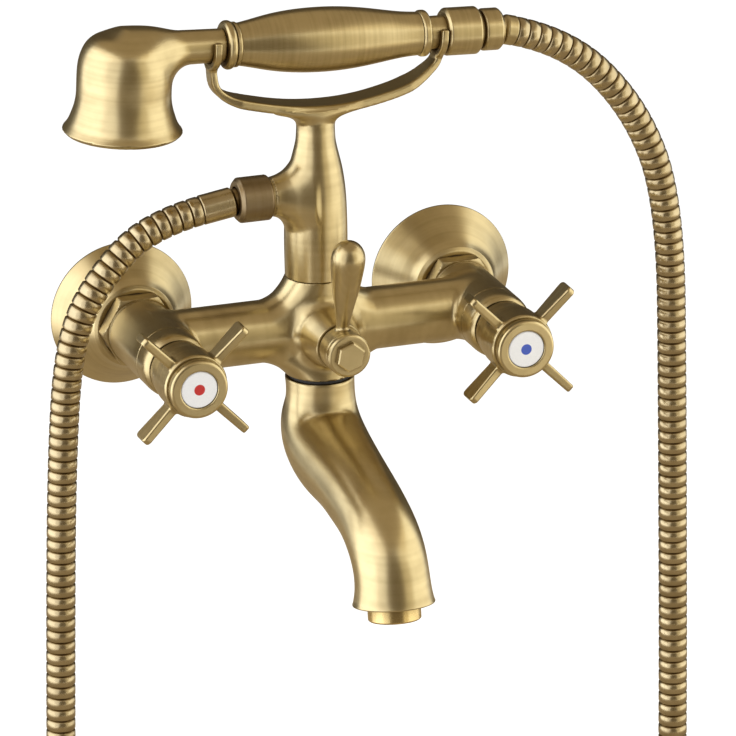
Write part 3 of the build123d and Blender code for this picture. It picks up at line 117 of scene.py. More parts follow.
# Studio, in metres and degrees
MIDDLE = Vector((0, -0.05, 0))  # what the lamps and cards stand round
LAMP_WIDTH, LAMP_HEIGHT = 1.9, 1.6
LAMP_ELEVATION = 12
CAMERA_TARGET = Vector((0.02257, -0.050, -0.01336))
CAMERA_AZIMUTH = -20.1
CAMERA_ELEVATION = 19.86
CAMERA_DISTANCE = 3.39446
CAMERA_LENS = 377.7

materials = {}


# ---------------------------------------------------------------- lines and outlines

def unit(vector):
    """The same direction with length one."""
    vector = np.asarray(vector, float)
    return vector / np.linalg.norm(vector)


def circle(steps):
    """Angles once round, without the last, which is the first again."""
    return np.linspace(0, 2 * math.pi, steps, endpoint=False)


def reach_of(line):
    """How far along a line of points each of them lies."""
    return np.concatenate([[0], np.cumsum(np.linalg.norm(np.diff(line, axis=0), axis=1))])


def smooth_line(knots, count):
    """Natural cubic through the knots: on each span a cubic whose slope and bend agree
    with its neighbours', with the chord length as its parameter."""
    knots = np.asarray(knots, float)
    reach = reach_of(knots)
    span = np.diff(reach)
    last = len(knots) - 1
    rows = np.arange(1, last)
    system = np.eye(last + 1)
    system[rows, rows - 1] = span[:-1]
    system[rows, rows] = 2 * (span[:-1] + span[1:])
    system[rows, rows + 1] = span[1:]
    known = np.zeros_like(knots)
    known[1:-1] = 6 * np.diff(np.diff(knots, axis=0) / span[:, None], axis=0)
    bend = np.linalg.solve(system, known)
    at = np.linspace(0, reach[-1], count)
    i = np.clip(np.searchsorted(reach, at, side="right") - 1, 0, last - 1)
    h = span[i][:, None]
    t = (at - reach[i])[:, None]
    s = h - t
    return (
        (bend[i] * s**3 + bend[i + 1] * t**3) / (6 * h)
        + (knots[i] / h - bend[i] * h / 6) * s
        + (knots[i + 1] / h - bend[i + 1] * h / 6) * t
    )


def swelling(start, length, radius, shares, count):
    """Smooth outline whose points are shares of a length and of a radius."""
    return smooth_line([(start + length * s, radius * r) for s, r in shares], count)


def eased(outline, radius, closed=True, sharp=24.0):
    """Outline with rounded corners: where it turns more than `sharp` degrees the corner
    becomes a parabola between points set back by the radius along both sides, with one
    more point behind each end, so that flats stay flat when they are shaded."""
    outline = np.asarray(outline, float)
    back = np.roll(outline, 1, 0) - outline
    on = np.roll(outline, -1, 0) - outline
    back_length = np.linalg.norm(back, axis=1)
    on_length = np.linalg.norm(on, axis=1)
    back = back / np.maximum(back_length, 1e-9)[:, None]
    on = on / np.maximum(on_length, 1e-9)[:, None]
    turn = np.degrees(np.arccos(np.clip(-(back * on).sum(1), -1, 1)))
    ease = np.minimum(radius, 0.38 * np.minimum(back_length, on_length)) * (turn > sharp)
    if not closed:
        ease[[0, -1]] = 0
    ease = ease[:, None, None]
    t = np.linspace(0, 1, 6)[None, :, None]
    corner, back, on = outline[:, None], back[:, None], on[:, None]
    arc = corner + ease * ((1 - t) ** 2 * back + t**2 * on)
    rows = np.concatenate([corner + 1.3 * ease * back, arc, corner + 1.3 * ease * on], 1)
    rows = rows.reshape(-1, 2)
    kept = np.linalg.norm(rows - np.roll(rows, 1, 0), axis=1) > 1e-6
    if not closed:
        kept[0] = True
    return rows[kept]


# ---------------------------------------------------------------- meshes

def outward(points, faces):
    """The faces, turned round if the volume that they enclose comes out negative."""
    tri = np.array([(f[0], f[k], f[k + 1]) for f in faces for k in range(1, len(f) - 1)])
    a, b, c = (points[tri[:, k]] for k in range(3))
    volume = np.einsum("ij,ij->i", a, np.cross(b, c)).sum()
    return faces if volume >= 0 else [f[::-1] for f in faces]


def shell(grid, ends=None):
    """Points and faces of a grid of points, rows by columns, whose columns run round and
    meet. Rows meet too unless two end points are given: each then closes a fan."""
    rows, columns = grid.shape[:2]
    points = grid.reshape(-1, 3)
    spans = rows if ends is None else rows - 1
    i, j = (a.ravel() for a in np.meshgrid(np.arange(spans), np.arange(columns), indexing="ij"))
    beside = (j + 1) % columns
    above = (i + 1) % rows
    faces = np.stack(
        [i * columns + j, i * columns + beside, above * columns + beside, above * columns + j], 1
    ).tolist()
    if ends is not None:
        first, last = len(points), len(points) + 1
        points = np.vstack([points, ends[0], ends[1]])
        j = np.arange(columns)
        near = np.stack([(j + 1) % columns, j, np.full(columns, first)], 1)
        far = (rows - 1) * columns
        distant = np.stack([far + j, far + (j + 1) % columns, np.full(columns, last)], 1)
        faces += near.tolist() + distant.tolist()
    return points, faces


def turned(outline, centre, axis, steps=128, closed=True):
    """Surface of revolution: each outline point (distance along the axis, radius) is
    carried round the axis. An open outline starts and ends on the axis."""
    outline = np.asarray(outline, float)
    axis = unit(axis)
    side = unit(np.cross(axis, (0.31, 0.93, 0.2)))
    third = np.cross(axis, side)
    turn = circle(steps)
    ring = np.cos(turn)[:, None] * side + np.sin(turn)[:, None] * third
    ends = None
    if not closed:
        ends = centre + axis * outline[0, 0], centre + axis * outline[-1, 0]
        outline = outline[1:-1]
    grid = centre + outline[:, 0, None, None] * axis + outline[:, 1, None, None] * ring
    return shell(grid, ends)


def placed(name, data):
    """A new object with that data, in the scene."""
    made = bpy.data.objects.new(name, data)
    bpy.context.scene.collection.objects.link(made)
    return made


def rings_along(centres, headings, across, radii, steps):
    """Circles round the points of a line, square to its headings; `across` is square to
    the plane that the line lies in."""
    turn = circle(steps)[:, None]
    ring = np.cos(turn) * across + np.sin(turn) * np.cross(headings, across)[:, None]
    return centres[:, None] + radii[:, None, None] * ring


def piece(
    name, points, faces, finish, body, *nodes, slot="antique_brass", normals=None, sharp=SHARP
):
    """A mesh object made of one set of points and faces, on its body, standing for nodes."""
    mesh = bpy.data.meshes.new(name)
    mesh.from_pydata((np.asarray(points) * MM).tolist(), [], outward(points, faces))
    mesh.validate()
    mesh.polygons.foreach_set("use_smooth", [True] * len(mesh.polygons))
    if normals is not None:
        mesh.normals_split_custom_set_from_vertices(normals.tolist())
    else:
        mesh.set_sharp_from_angle(angle=math.radians(sharp))
    mesh.materials.append(materials[finish])
    made = placed(name, mesh)
    if body:
        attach(made, body)
    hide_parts(*nodes)
    return made


def turned_piece(
    name, outline, centre, axis, finish, body, node, slot="antique_brass", steps=128, closed=True
):
    """A piece that is one surface of revolution."""
    points, faces = turned(outline, centre, axis, steps, closed)
    piece(name, points, faces, finish, body, node, slot=slot)


def axis_point(x, depth=0.0):
    """Point at the height of the bar's axis, that far out of the wall."""
    return np.array((x, -depth, AXIS_Z))


def outward_rings(centre, along, radii):
    """Rings round an axis that points out of the wall: how far out each lies, and its
    radius at each step round."""
    turn = circle(radii.shape[1])
    ring = np.stack([np.cos(turn), np.zeros(len(turn)), np.sin(turn)], 1)
    return centre + along[:, None, None] * OUT + radii[..., None] * ring


def hexagon(steps, half_flat, corner=0.0):
    """Radius of a hexagon at each step round, with one corner at that angle."""
    return half_flat / np.cos((circle(steps) - corner) % (math.pi / 3) - math.pi / 6)


# ---------------------------------------------------------------- castings

def section_field(along, radius, outline):
    """Distance from (along, radius) to a closed half section, negative inside: to the
    nearest of its sides, leaving out sides that lie on the axis, with the sign from
    how many sides a line outwards crosses."""
    start = np.asarray(outline, float)
    end = np.roll(start, -1, 0)
    side = end - start
    square = np.maximum((side**2).sum(1), 1e-12)
    on_axis = (np.abs(start[:, 1]) < 1e-6) & (np.abs(end[:, 1]) < 1e-6)
    result = np.empty(len(along))
    for first in range(0, len(along), CHUNK):
        here = slice(first, first + CHUNK)
        a = along[here, None] - start[:, 0]
        r = radius[here, None] - start[:, 1]
        share = np.clip((a * side[:, 0] + r * side[:, 1]) / square, 0, 1)
        gap = (a - share * side[:, 0]) ** 2 + (r - share * side[:, 1]) ** 2
        gap[:, on_axis] = np.inf
        above = radius[here, None]
        crosses = (start[:, 1] > above) != (end[:, 1] > above)
        rise = np.where(np.abs(side[:, 1]) < 1e-12, 1e-12, side[:, 1])
        beyond = along[here, None] < start[:, 0] + r * side[:, 0] / rise
        inside = (crosses & beyond).sum(1) % 2 == 1
        result[here] = np.sqrt(gap.min(1)) * np.where(inside, -1, 1)
    return result


def turned_field(points, outline, centre, axis):
    """Distance to the solid that a half section makes when it is turned round an axis."""
    from_centre = points - centre
    along = from_centre @ axis
    radius = np.linalg.norm(from_centre - along[:, None] * axis, axis=1)
    return section_field(along, radius, outline)


def fillet(a, b, radius):
    """Union of two distance fields whose inner corner has a round of that radius."""
    u = np.maximum(radius - a, 0)
    v = np.maximum(radius - b, 0)
    return np.maximum(radius, np.minimum(a, b)) - np.hypot(u, v)


def cut(a, b, radius):
    """Field a without field b, with the edge between them rounded."""
    u = np.maximum(radius + a, 0)
    v = np.maximum(radius - b, 0)
    return np.minimum(-radius, np.maximum(a, -b)) + np.hypot(u, v)


def oval_field(x, y, half_x, half_y):
    """Distance to an oval: how far its own measure is from one, over that measure's slope."""
    measure = np.sqrt((x / half_x) ** 2 + (y / half_y) ** 2) + 1e-9
    slope = np.sqrt((x / half_x**2) ** 2 + (y / half_y**2) ** 2) / measure + 1e-9
    return (measure - 1) / slope


def line_gap(x, y, line, values):
    """Distance to the nearest stretch of a line of points, and the values that the
    columns of a table give there, between its rows."""
    start, side = line[:-1], np.diff(line, axis=0)
    square = (side**2).sum(1)
    gap = np.empty(len(x))
    found = np.empty((len(x), values.shape[1]))
    for first in range(0, len(x), CHUNK):
        here = slice(first, first + CHUNK)
        a = x[here, None] - start[:, 0]
        b = y[here, None] - start[:, 1]
        share = np.clip((a * side[:, 0] + b * side[:, 1]) / square, 0, 1)
        gaps = (a - share * side[:, 0]) ** 2 + (b - share * side[:, 1]) ** 2
        near = gaps.argmin(1)
        rows = np.arange(len(near))
        gap[here] = np.sqrt(gaps[rows, near])
        share = share[rows, near][:, None]
        found[here] = values[near] * (1 - share) + values[near + 1] * share
    return gap, found


def block_field(gaps, round_off):
    """Distance to a block from how far a point lies beyond each of its faces, with its
    edges rounded."""
    gaps = np.stack(gaps, 1) + round_off
    return np.linalg.norm(np.maximum(gaps, 0), axis=1) + np.minimum(gaps.max(1), 0) - round_off


def slopes(points, field, step=0.03):
    """Slope of a field, from its change over a short step each way along X, Y and Z."""
    shifts = np.eye(3) * step
    return np.stack(
        [(field(points + s) - field(points - s)) / (2 * step) for s in shifts], 1
    )


def settle(points, field, rounds, reach):
    """Points drawn onto the surface where the field is nought, along its slope, which is
    its change over a short step along X, Y and Z."""
    step = 0.02
    for _ in range(rounds):
        value = field(points)
        slope = np.stack([field(points + s) - value for s in np.eye(3) * step], 1) / step
        shift = slope * (value / np.maximum((slope**2).sum(1), 0.05))[:, None]
        length = np.linalg.norm(shift, axis=1, keepdims=True)
        points = points - shift * np.minimum(1, reach / np.maximum(length, 1e-9))
    return points


def evened(points, quads):
    """Each point at the mean of the points that it shares an edge with."""
    total = np.zeros_like(points)
    count = np.zeros(len(points))
    for a, b in ((0, 1), (1, 2), (2, 3), (3, 0)):
        for here, there in ((quads[:, a], quads[:, b]), (quads[:, b], quads[:, a])):
            count += np.bincount(here, minlength=len(points))
            for k in range(3):
                total[:, k] += np.bincount(here, points[there, k], len(points))
    return total / count[:, None]


def casting(field, low, high, cell):
    """Closed skin where a distance field is nought. Space is cut into cells; blocks of
    four cells that lie far from the skin are skipped; each cell that the skin crosses
    holds one point, drawn onto the skin along the field's slope, and each cell edge that
    crosses the skin holds one face between the four points round it. Returns points,
    faces and the field's slopes there as normals."""
    low, high = np.asarray(low, float), np.asarray(high, float)
    blocks = np.ceil((high - low) / (4 * cell)).astype(int) + 1
    centre_axes = [low[k] + cell * (4 * np.arange(blocks[k]) + 1.5) for k in range(3)]
    centres = np.stack(np.meshgrid(*centre_axes, indexing="ij"), -1).reshape(-1, 3)
    coarse = field(centres).reshape(blocks)
    value = coarse.repeat(4, 0).repeat(4, 1).repeat(4, 2)
    near = (np.abs(coarse) < 5.5 * cell).repeat(4, 0).repeat(4, 1).repeat(4, 2)
    at = np.argwhere(near)
    value[near] = field(low + cell * at)
    inside = value < 0
    a, b, c = (n - 1 for n in inside.shape)
    corners = sum(
        inside[i : a + i, j : b + j, k : c + k].astype(int)
        for i in (0, 1) for j in (0, 1) for k in (0, 1)
    )
    mixed = (corners > 0) & (corners < 8)
    number = np.full(mixed.shape, -1)
    number[mixed] = np.arange(mixed.sum())
    points = low + cell * (np.argwhere(mixed) + 0.5)
    quads = []
    for axis in range(3):
        node = np.moveaxis(inside, axis, 0)
        cells = np.moveaxis(number, axis, 0)
        i, j, k = np.nonzero((node[:-1] != node[1:])[:, 1:-1, 1:-1])
        j, k = j + 1, k + 1
        quad = np.stack(
            [cells[i, j - 1, k - 1], cells[i, j, k - 1], cells[i, j, k], cells[i, j - 1, k]], 1
        )
        forward = node[i, j, k] != (axis == 1)
        quads.append(np.where(forward[:, None], quad, quad[:, ::-1]))
    quads = np.vstack(quads)
    points = settle(points, field, 3, cell)
    for _ in range(2):
        points = settle(points + 0.7 * (evened(points, quads) - points), field, 1, cell)
    points = settle(points, field, 1, cell)
    normals = slopes(points, field)
    normals /= np.maximum(np.linalg.norm(normals, axis=1, keepdims=True), 1e-9)
    return points, quads.tolist(), normals


def cast_piece(name, field, low, high, cell, finish, body, node):
    """A piece that is the skin of one casting."""
    points, faces, normals = casting(field, low, high, cell)
    piece(name, points, faces, finish, body, node, normals=normals)


# ---------------------------------------------------------------- finishes

def feed(tree, node, inputs):
    """Sets a node's sockets to values, or links them to other nodes' sockets."""
    for name, value in inputs.items():
        if isinstance(value, bpy.types.NodeSocket):
            tree.links.new(value, node.inputs[name])
        else:
            node.inputs[name].default_value = value


def put(tree, kind, inputs=None, **settings):
    """A node with its settings and its sockets."""
    node = tree.nodes.new(f"ShaderNode{kind}")
    for name, value in settings.items():
        setattr(node, name, value)
    feed(tree, node, inputs or {})
    return node


def reckon(tree, operation, *values, **settings):
    """Result of one step of arithmetic on numbers."""
    node = put(tree, "Math", dict(enumerate(values)), operation=operation, **settings)
    return node.outputs[0]


def reckon_vector(tree, operation, *values):
    """Result of one step of arithmetic on vectors, the second of them a number when the
    first is scaled."""
    inputs = {0: values[0], "Scale": values[1]} if operation == "SCALE" else dict(enumerate(values))
    outputs = put(tree, "VectorMath", inputs, operation=operation).outputs
    return outputs["Value"] if operation in ("DOT_PRODUCT", "LENGTH") else outputs["Vector"]


def noise(tree, place, scale, detail, roughness=0.5):
    """Noise from nought to one."""
    inputs = {"Vector": place, "Scale": scale, "Detail": detail, "Roughness": roughness}
    return put(tree, "TexNoise", inputs).outputs["Fac"]


def mapped(tree, value, low, high, to_low, to_high):
    """The value, carried from one range to another."""
    return put(tree, "MapRange", {0: value, 1: low, 2: high, 3: to_low, 4: to_high}).outputs[0]


def blended(tree, factor, first, second):
    """Colour between two."""
    inputs = {"Factor": factor, "A": first, "B": second}
    return put(tree, "Mix", inputs, data_type="RGBA").outputs["Result"]


def group_of(name, inputs, outputs):
    """An empty node group with its sockets: (name, kind, default) for each input."""
    tree = bpy.data.node_groups.new(name, "ShaderNodeTree")
    for label, kind, default in inputs:
        socket = tree.interface.new_socket(label, in_out="INPUT", socket_type=f"NodeSocket{kind}")
        socket.default_value = default
    for label, kind in outputs:
        tree.interface.new_socket(label, in_out="OUTPUT", socket_type=f"NodeSocket{kind}")
    return tree, tree.nodes.new("NodeGroupInput").outputs, tree.nodes.new("NodeGroupOutput")


def brushing_group():
    """Brush lines round an axis: noise that changes fast along the axis and slowly round
    it, so that each line fades out after a stretch. Fine and broad lines come out separately."""
    tree, given, out = group_of(
        "Brush lines",
        [("Position", "Vector", (0, 0, 0)), ("Axis", "Vector", (0, 0, 1)),
         ("Lines", "Float", 3000.0), ("Run", "Float", 90.0)],
        [("Height", "Float"), ("Broad", "Float")],
    )
    along = reckon_vector(tree, "DOT_PRODUCT", given["Position"], given["Axis"])
    spread = reckon(tree, "SUBTRACT", given["Lines"], given["Run"])
    fast = reckon(tree, "MULTIPLY", along, spread)
    push = reckon_vector(tree, "SCALE", given["Axis"], fast)
    slow = reckon_vector(tree, "SCALE", given["Position"], given["Run"])
    place = reckon_vector(tree, "ADD", slow, push)
    feed(tree, out, {
        "Height": noise(tree, place, 1.0, 2.0, 0.6),
        "Broad": noise(tree, place, 0.21, 1.0),
    })
    return tree


def patina_group():
    """Aged brass: a cloudy browning over the whole surface, and more of it in hollows,
    where nearby surfaces close off the sky."""
    tree, given, out = group_of(
        "Patina",
        [("Position", "Vector", (0, 0, 0)), ("Bare", "Color", (0.6, 0.47, 0.2, 1)),
         ("Aged", "Color", (0.2, 0.13, 0.06, 1)), ("Clouds", "Float", 0.25),
         ("Hollows", "Float", 0.5), ("Streak", "Float", 0.5)],
        [("Color", "Color"), ("Mask", "Float")],
    )
    cloud = mapped(tree, noise(tree, given["Position"], 70.0, 3.0, 0.55), 0.35, 0.72, 0.0, 1.0)
    sky = put(tree, "AmbientOcclusion", {"Distance": 0.006}, samples=6).outputs["AO"]
    hollow = mapped(tree, sky, 0.35, 0.95, 1.0, 0.0)
    clouds = reckon(tree, "MULTIPLY", cloud, given["Clouds"])
    browned = reckon(tree, "MULTIPLY_ADD", hollow, given["Hollows"], clouds)
    streak = reckon(tree, "SUBTRACT", given["Streak"], 0.5)
    mask = reckon(tree, "MULTIPLY_ADD", streak, 0.5, browned, use_clamp=True)
    feed(tree, out, {"Color": blended(tree, mask, given["Bare"], given["Aged"]), "Mask": mask})
    return tree


def new_material(name):
    """A new material, kept under its name: its node tree and its shader."""
    made = bpy.data.materials.new(name)
    made.use_nodes = True
    materials[name] = made
    return made.node_tree, made.node_tree.nodes["Principled BSDF"]


def relief(tree, height, strength, distance):
    """Surface direction, tilted where the height changes."""
    return put(
        tree, "Bump", {"Height": height, "Strength": strength, "Distance": distance}
    ).outputs[0]


def metal(name, axis, bare, aged, roughness, groups, lines=2600.0, run=70.0, depth=0.00004,
          clouds=0.22, hollows=0.75, centre=(0, 0, 0)):
    """Brushed and aged metal: brush lines round the given axis, browned in its hollows."""
    tree, shader = new_material(name)
    place = put(tree, "TexCoord").outputs["Object"]
    moved = put(tree, "Mapping", {"Vector": place, "Location": [-c * MM for c in centre]})
    brush = put(tree, "Group", {
        "Position": moved.outputs[0], "Axis": tuple(axis), "Lines": lines, "Run": run,
    }, node_tree=groups["brush"]).outputs
    patina = put(tree, "Group", {
        "Position": place, "Streak": brush["Broad"], "Bare": (*bare, 1), "Aged": (*aged, 1),
        "Clouds": clouds, "Hollows": hollows,
    }, node_tree=groups["patina"]).outputs
    feed(tree, shader, {
        "Metallic": 1.0, "Base Color": patina["Color"],
        "Roughness": mapped(tree, patina["Mask"], 0.0, 1.0, roughness, roughness + 0.14),
        "Normal": relief(tree, brush["Height"], 0.55, depth),
    })


def plain(name, colour, roughness, metallic=0.0, depth=0.00003):
    """Moulded, lapped or machined surface: one colour that varies a little with a fine
    grain in its relief and gloss."""
    tree, shader = new_material(name)
    grain = noise(tree, put(tree, "TexCoord").outputs["Object"], 900.0, 2.0)
    dark = [c * 0.86 for c in colour]
    feed(tree, shader, {
        "Metallic": metallic, "Base Color": blended(tree, grain, (*dark, 1), (*colour, 1)),
        "Roughness": mapped(tree, grain, 0.0, 1.0, roughness - 0.05, roughness + 0.05),
        "Normal": relief(tree, grain, 0.3, depth),
    })


def enamel(name, mark, x):
    """White enamel disc with a round colour mark in its middle: the colour depends on the
    distance from the tap's axis."""
    tree, shader = new_material(name)
    place = put(tree, "TexCoord").outputs["Object"]
    moved = reckon_vector(tree, "ADD", place, (-x * MM, 0, -AXIS_Z * MM))
    flat = reckon_vector(tree, "MULTIPLY", moved, (1, 0, 1))
    dot = mapped(tree, reckon_vector(tree, "LENGTH", flat), 0.00235, 0.00255, 1.0, 0.0)
    speck = noise(tree, place, 1500.0, 2.0)
    white = blended(tree, speck, (0.84, 0.84, 0.86, 1), (0.93, 0.93, 0.93, 1))
    feed(tree, shader, {
        "Base Color": blended(tree, dot, white, (*mark, 1)), "Roughness": 0.22, "Coat Weight": 0.6,
    })


def make_finishes(finish):
    groups = {"brush": brushing_group(), "patina": patina_group()}
    bare, aged, rough = tuple(finish.bare), tuple(finish.aged), finish.roughness

    def brass(name, axis, colour=bare, rougher=0.0, **settings):
        metal(name, axis, colour, aged, rough + rougher, groups, **settings)

    for side, x, _ in SIDES:
        brass(f"brass_turned_{side}", OUT, centre=axis_point(x))
    brass("brass_casting", (1, 0, 0), lines=900.0, run=160.0, depth=0.00003)
    brass("brass_upright", UP, lines=1500.0, run=80.0, centre=(0, -RISER_DEPTH, 0))
    brass("brass_handset", ALONG, lines=3000.0, run=60.0, centre=HANDSET)
    brass("brass_head", ABOVE, lines=2400.0, run=60.0, centre=HEAD)
    brass("brass_centre", OUT, centre=axis_point(0))
    brass("brass_nut", (1, 0, 0), tuple(finish.nut), 0.1, clouds=0.35)
    brass(
        "brass_hose", ALONG, tuple(finish.hose), -0.03, clouds=0.3, hollows=1.3, lines=700.0,
        run=300.0
    )
    brass("brass_machined", OUT, (0.72, 0.56, 0.26), -0.06, lines=1800.0)
    plain("rubber_black", (0.03, 0.03, 0.03), 0.6, depth=0.00005)
    plain("ceramic_grey", (0.86, 0.85, 0.82), 0.25)
    plain("steel_screw", (0.6, 0.6, 0.58), 0.32, metallic=1.0)
    plain("nylon_white", (0.78, 0.78, 0.74), 0.45)
    enamel("enamel_hot", tuple(finish.hot_mark), -HALF_SPACING)
    enamel("enamel_cold", tuple(finish.cold_mark), HALF_SPACING)


SLOT_FINISH = {
    "antique_brass": "brass_casting", "dark_brass": "brass_nut", "hose_brass": "brass_hose",
    "plain_brass": "brass_machined", "polished_brass": "brass_machined",
    "seal_rubber": "rubber_black", "valve_ceramic": "ceramic_grey", "screw_steel": "steel_screw",
    "nylon": "nylon_white", "white_enamel": "enamel_hot",
}


def dress_hidden():
    """The pieces that keep their CAD shape get the finish of their slot."""
    for row in frame["record"]["subparts"]:
        mesh = frame["nodes"][row["node"]].data
        mesh.materials.clear()
        mesh.materials.append(materials[SLOT_FINISH[row["material_slot"]]])


# ---------------------------------------------------------------- hose

def hose_line():
    """Points, in metres, along the NURBS spline that has the route as control points."""
    curve = bpy.data.curves.new("hose_route", "CURVE")
    curve.dimensions = "3D"
    curve.resolution_u = 48
    spline = curve.splines.new("NURBS")
    spline.points.add(len(HOSE_ROUTE) - 1)
    for point, (x, z) in zip(spline.points, HOSE_ROUTE):
        point.co = (x, HOSE_DEPTH, z, 1)
    spline.order_u = 3
    spline.use_endpoint_u = True
    holder = placed("hose_route", curve)
    bpy.context.view_layer.update()
    mesh = bpy.data.meshes.new_from_object(holder)
    line = np.empty(len(mesh.vertices) * 3)
    mesh.vertices.foreach_get("co", line)
    bpy.data.objects.remove(holder)
    bpy.data.curves.remove(curve)
    bpy.data.meshes.remove(mesh)
    return line.reshape(-1, 3)


def make_hose(sizes):
    """Tube along the route whose radius follows the ribs: on each rib a flat crown with
    rounded shoulders, and a narrow groove before the next. It has plain spigots at its ends."""
    line = hose_line()
    reach = reach_of(line)
    length = reach[-1]
    spigot = 0.003
    ribs = round((length - 2 * spigot) / sizes.rib_pitch)
    pitch = (length - 2 * spigot) / ribs
    share = np.array([0.0, 0.07, 0.15, 0.5, 0.85, 0.93])
    drop = np.array([1.0, 0.45, 0.06, 0.0, 0.06, 0.45]) * sizes.rib_depth
    at = (spigot + (np.arange(ribs)[:, None] + share) * pitch).ravel()
    radius = np.tile(HOSE_DIAMETER / 2 - drop, ribs)
    spigot_radius = 0.0058
    at = np.concatenate([[0, spigot * 0.9], at, [length - spigot, length]])
    radius = np.concatenate([[spigot_radius] * 2, radius, [spigot_radius] * 2])
    centre, ahead, behind = (
        np.stack([np.interp(at + step, reach, line[:, k]) for k in range(3)], 1)
        for step in (0, 0.0015, -0.0015)
    )
    heading = ahead - behind
    heading /= np.linalg.norm(heading, axis=1, keepdims=True)
    grid = rings_along(centre, heading, (0.0, 1.0, 0.0), radius, sizes.hose_sides)
    points, faces = shell(grid / MM, (centre[0] / MM, centre[-1] / MM))
    hose = piece(
        "ribbed_hose", points, faces, "brass_hose", None, "hose_right", "hose_loop", "hose_left",
        slot="hose_brass", sharp=50.0,
    )
    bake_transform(hose)


def ferrule_outline(length, flange_radius, flange_back):
    """Sleeve over a hose end, with a flange that the nut holds behind the pivot."""
    return eased((
        (-flange_back, 3.4), (-flange_back, flange_radius), (1.4 - flange_back, flange_radius),
        (1.4 - flange_back, 5.4), (0.8, 5.4), (2.0, 6.6), (length - 0.5, 6.6), (length, 6.1),
        (length, 5.85), (length - 3.0, 5.85), (length - 3.0, 3.4),
    ), 0.35)


def make_hose_ends():
    """Ferrules, which lean down from their nuts' axes as the hose does, and nuts."""
    nut_end = 85.6
    pivot = HANDSET + ALONG * nut_end
    droop = math.radians(15.0)
    run = np.array((math.cos(droop), 0, -math.sin(droop)))
    outline = ferrule_outline(6.8, 6.3, 5.0)
    turned_piece(
        "handset_hose_ferrule", outline, pivot, run, "brass_handset", "handset", "handset_ferrule"
    )
    outlet = axis_point(0, RISER_DEPTH) + UP * OUTLET_HEIGHT
    nut_front = 37.0
    pivot = outlet + np.array((-nut_front, 0, 0))
    droop = math.radians(9.0)
    run = np.array((-math.cos(droop), 0, -math.sin(droop)))
    outline = ferrule_outline(16.2, 7.4, 5.2)
    turned_piece(
        "riser_hose_ferrule", outline, pivot, run, "brass_hose", "fixture", "riser_ferrule"
    )
    outline = eased((
        (21.9, 8.25), (21.9, 9.2), (22.7, 10.0), (35.4, 10.0), (nut_front, 8.4), (nut_front, 6.1),
        (34.4, 6.1), (34.4, 8.25),
    ), 0.4)
    turned_piece(
        "riser_hose_nut", outline, outlet, (-1, 0, 0), "brass_nut", "fixture", "riser_nut",
        "dark_brass"
    )
    outline = eased((
        (76.3, 7.25), (76.3, 8.5), (77.1, 9.3), (84.0, 9.3), (nut_end, 7.7), (nut_end, 6.0),
        (83.4, 6.0), (83.4, 7.25),
    ), 0.45)
    turned_piece(
        "handset_hose_nut", outline, HANDSET, ALONG, "brass_handset", "handset", "handset_nut"
    )


# ---------------------------------------------------------------- wall covers and taps

def make_wall_covers():
    """Spun bell: the outer curve, its turned-in lip and the same curve one wall further in."""
    length, wall = 21.3, 1.1
    shares = (
        (0.958, 0.131), (0.868, 0.291), (0.775, 0.469), (0.695, 0.620), (0.638, 0.728),
        (0.575, 0.892),
    )
    outer = [(1.2, WALL_COVER_RADIUS)] + [(length * d, WALL_COVER_RADIUS * r) for r, d in shares]
    inner = [(a - wall * 0.73, r - wall) for a, r in outer]
    outer = smooth_line(outer, 30)
    inner = smooth_line(inner, 30)[::-1]
    lip = [(20.3, 17.0), (20.3, 15.2), (19.3, 15.2), (19.3, 16.2)]
    rim = [(0, WALL_COVER_RADIUS)], [(0, WALL_COVER_RADIUS - wall)]
    outline = eased(np.vstack([rim[0], outer, lip, inner, rim[1]]), 0.45)
    for side, x, _ in SIDES:
        finish = f"brass_turned_{side}"
        turned_piece(
            f"wall_cover_{side}", outline, axis_point(x), OUT, finish, "fixture",
            f"escutcheon_{side}", steps=160
        )


def make_union_nuts():
    """Union nut: a turned skirt, a hexagon whose corners are cut back by a cone at the
    front, and a short nose. On the hexagon the radius is that of the flat at each angle,
    or the cone's where that is smaller."""
    steps = 6 * 30
    flat = np.minimum(hexagon(steps, 15.0), 17.15)
    rows = [
        (12.5, 13.25, 0), (12.5, 14.5, 0), (12.9, 14.9, 0), (20.4, 14.9, 0), (20.6, 14.95, 0),
        (20.65, 16.3, 1), (21.2, 17.3, 1), (22.0, 17.3, 1), (26.5, 17.3, 1), (26.9, 17.0, 1),
        (27.2, 16.5, 1), (27.5, 15.95, 1), (27.75, 15.45, 1), (27.8, 15.0, 1), (27.8, 14.7, 0),
        (27.95, 14.6, 0), (28.4, 14.6, 0), (28.6, 14.4, 0), (28.6, 10.6, 0), (28.3, 10.3, 0),
        (26.0, 10.3, 0), (26.0, 13.25, 0),
    ]
    radii = np.array([np.minimum(flat, r) if hexed else np.full(steps, r) for _, r, hexed in rows])
    along = np.array([a for a, _, _ in rows])
    for side, x, _ in SIDES:
        points, faces = shell(outward_rings(axis_point(x), along, radii))
        piece(
            f"hexagon_nut_{side}", points, faces, f"brass_turned_{side}", "fixture",
            f"union_nut_{side}", sharp=28.0
        )


def make_shrouds():
    """Sleeve in front of a valve housing: its curve narrows to the handle."""
    shares = (0.45, 1.0), (0.72, 0.982), (0.9, 0.935), (1.0, 0.868)
    curve = swelling(HOUSING_FRONT, 11.5, HOUSING_RADIUS, shares, 14)
    inside = [
        (77.5, 6.8), (76.0, 6.8), (76.0, 11.2), (HOUSING_FRONT, 11.2),
        (HOUSING_FRONT, HOUSING_RADIUS)
    ]
    outline = eased(np.vstack([curve, inside]), 0.3)
    for side, x, _ in SIDES:
        finish = f"brass_turned_{side}"
        turned_piece(
            f"tap_shroud_{side}", outline, axis_point(x), OUT, finish, "fixture", f"shroud_{side}"
        )


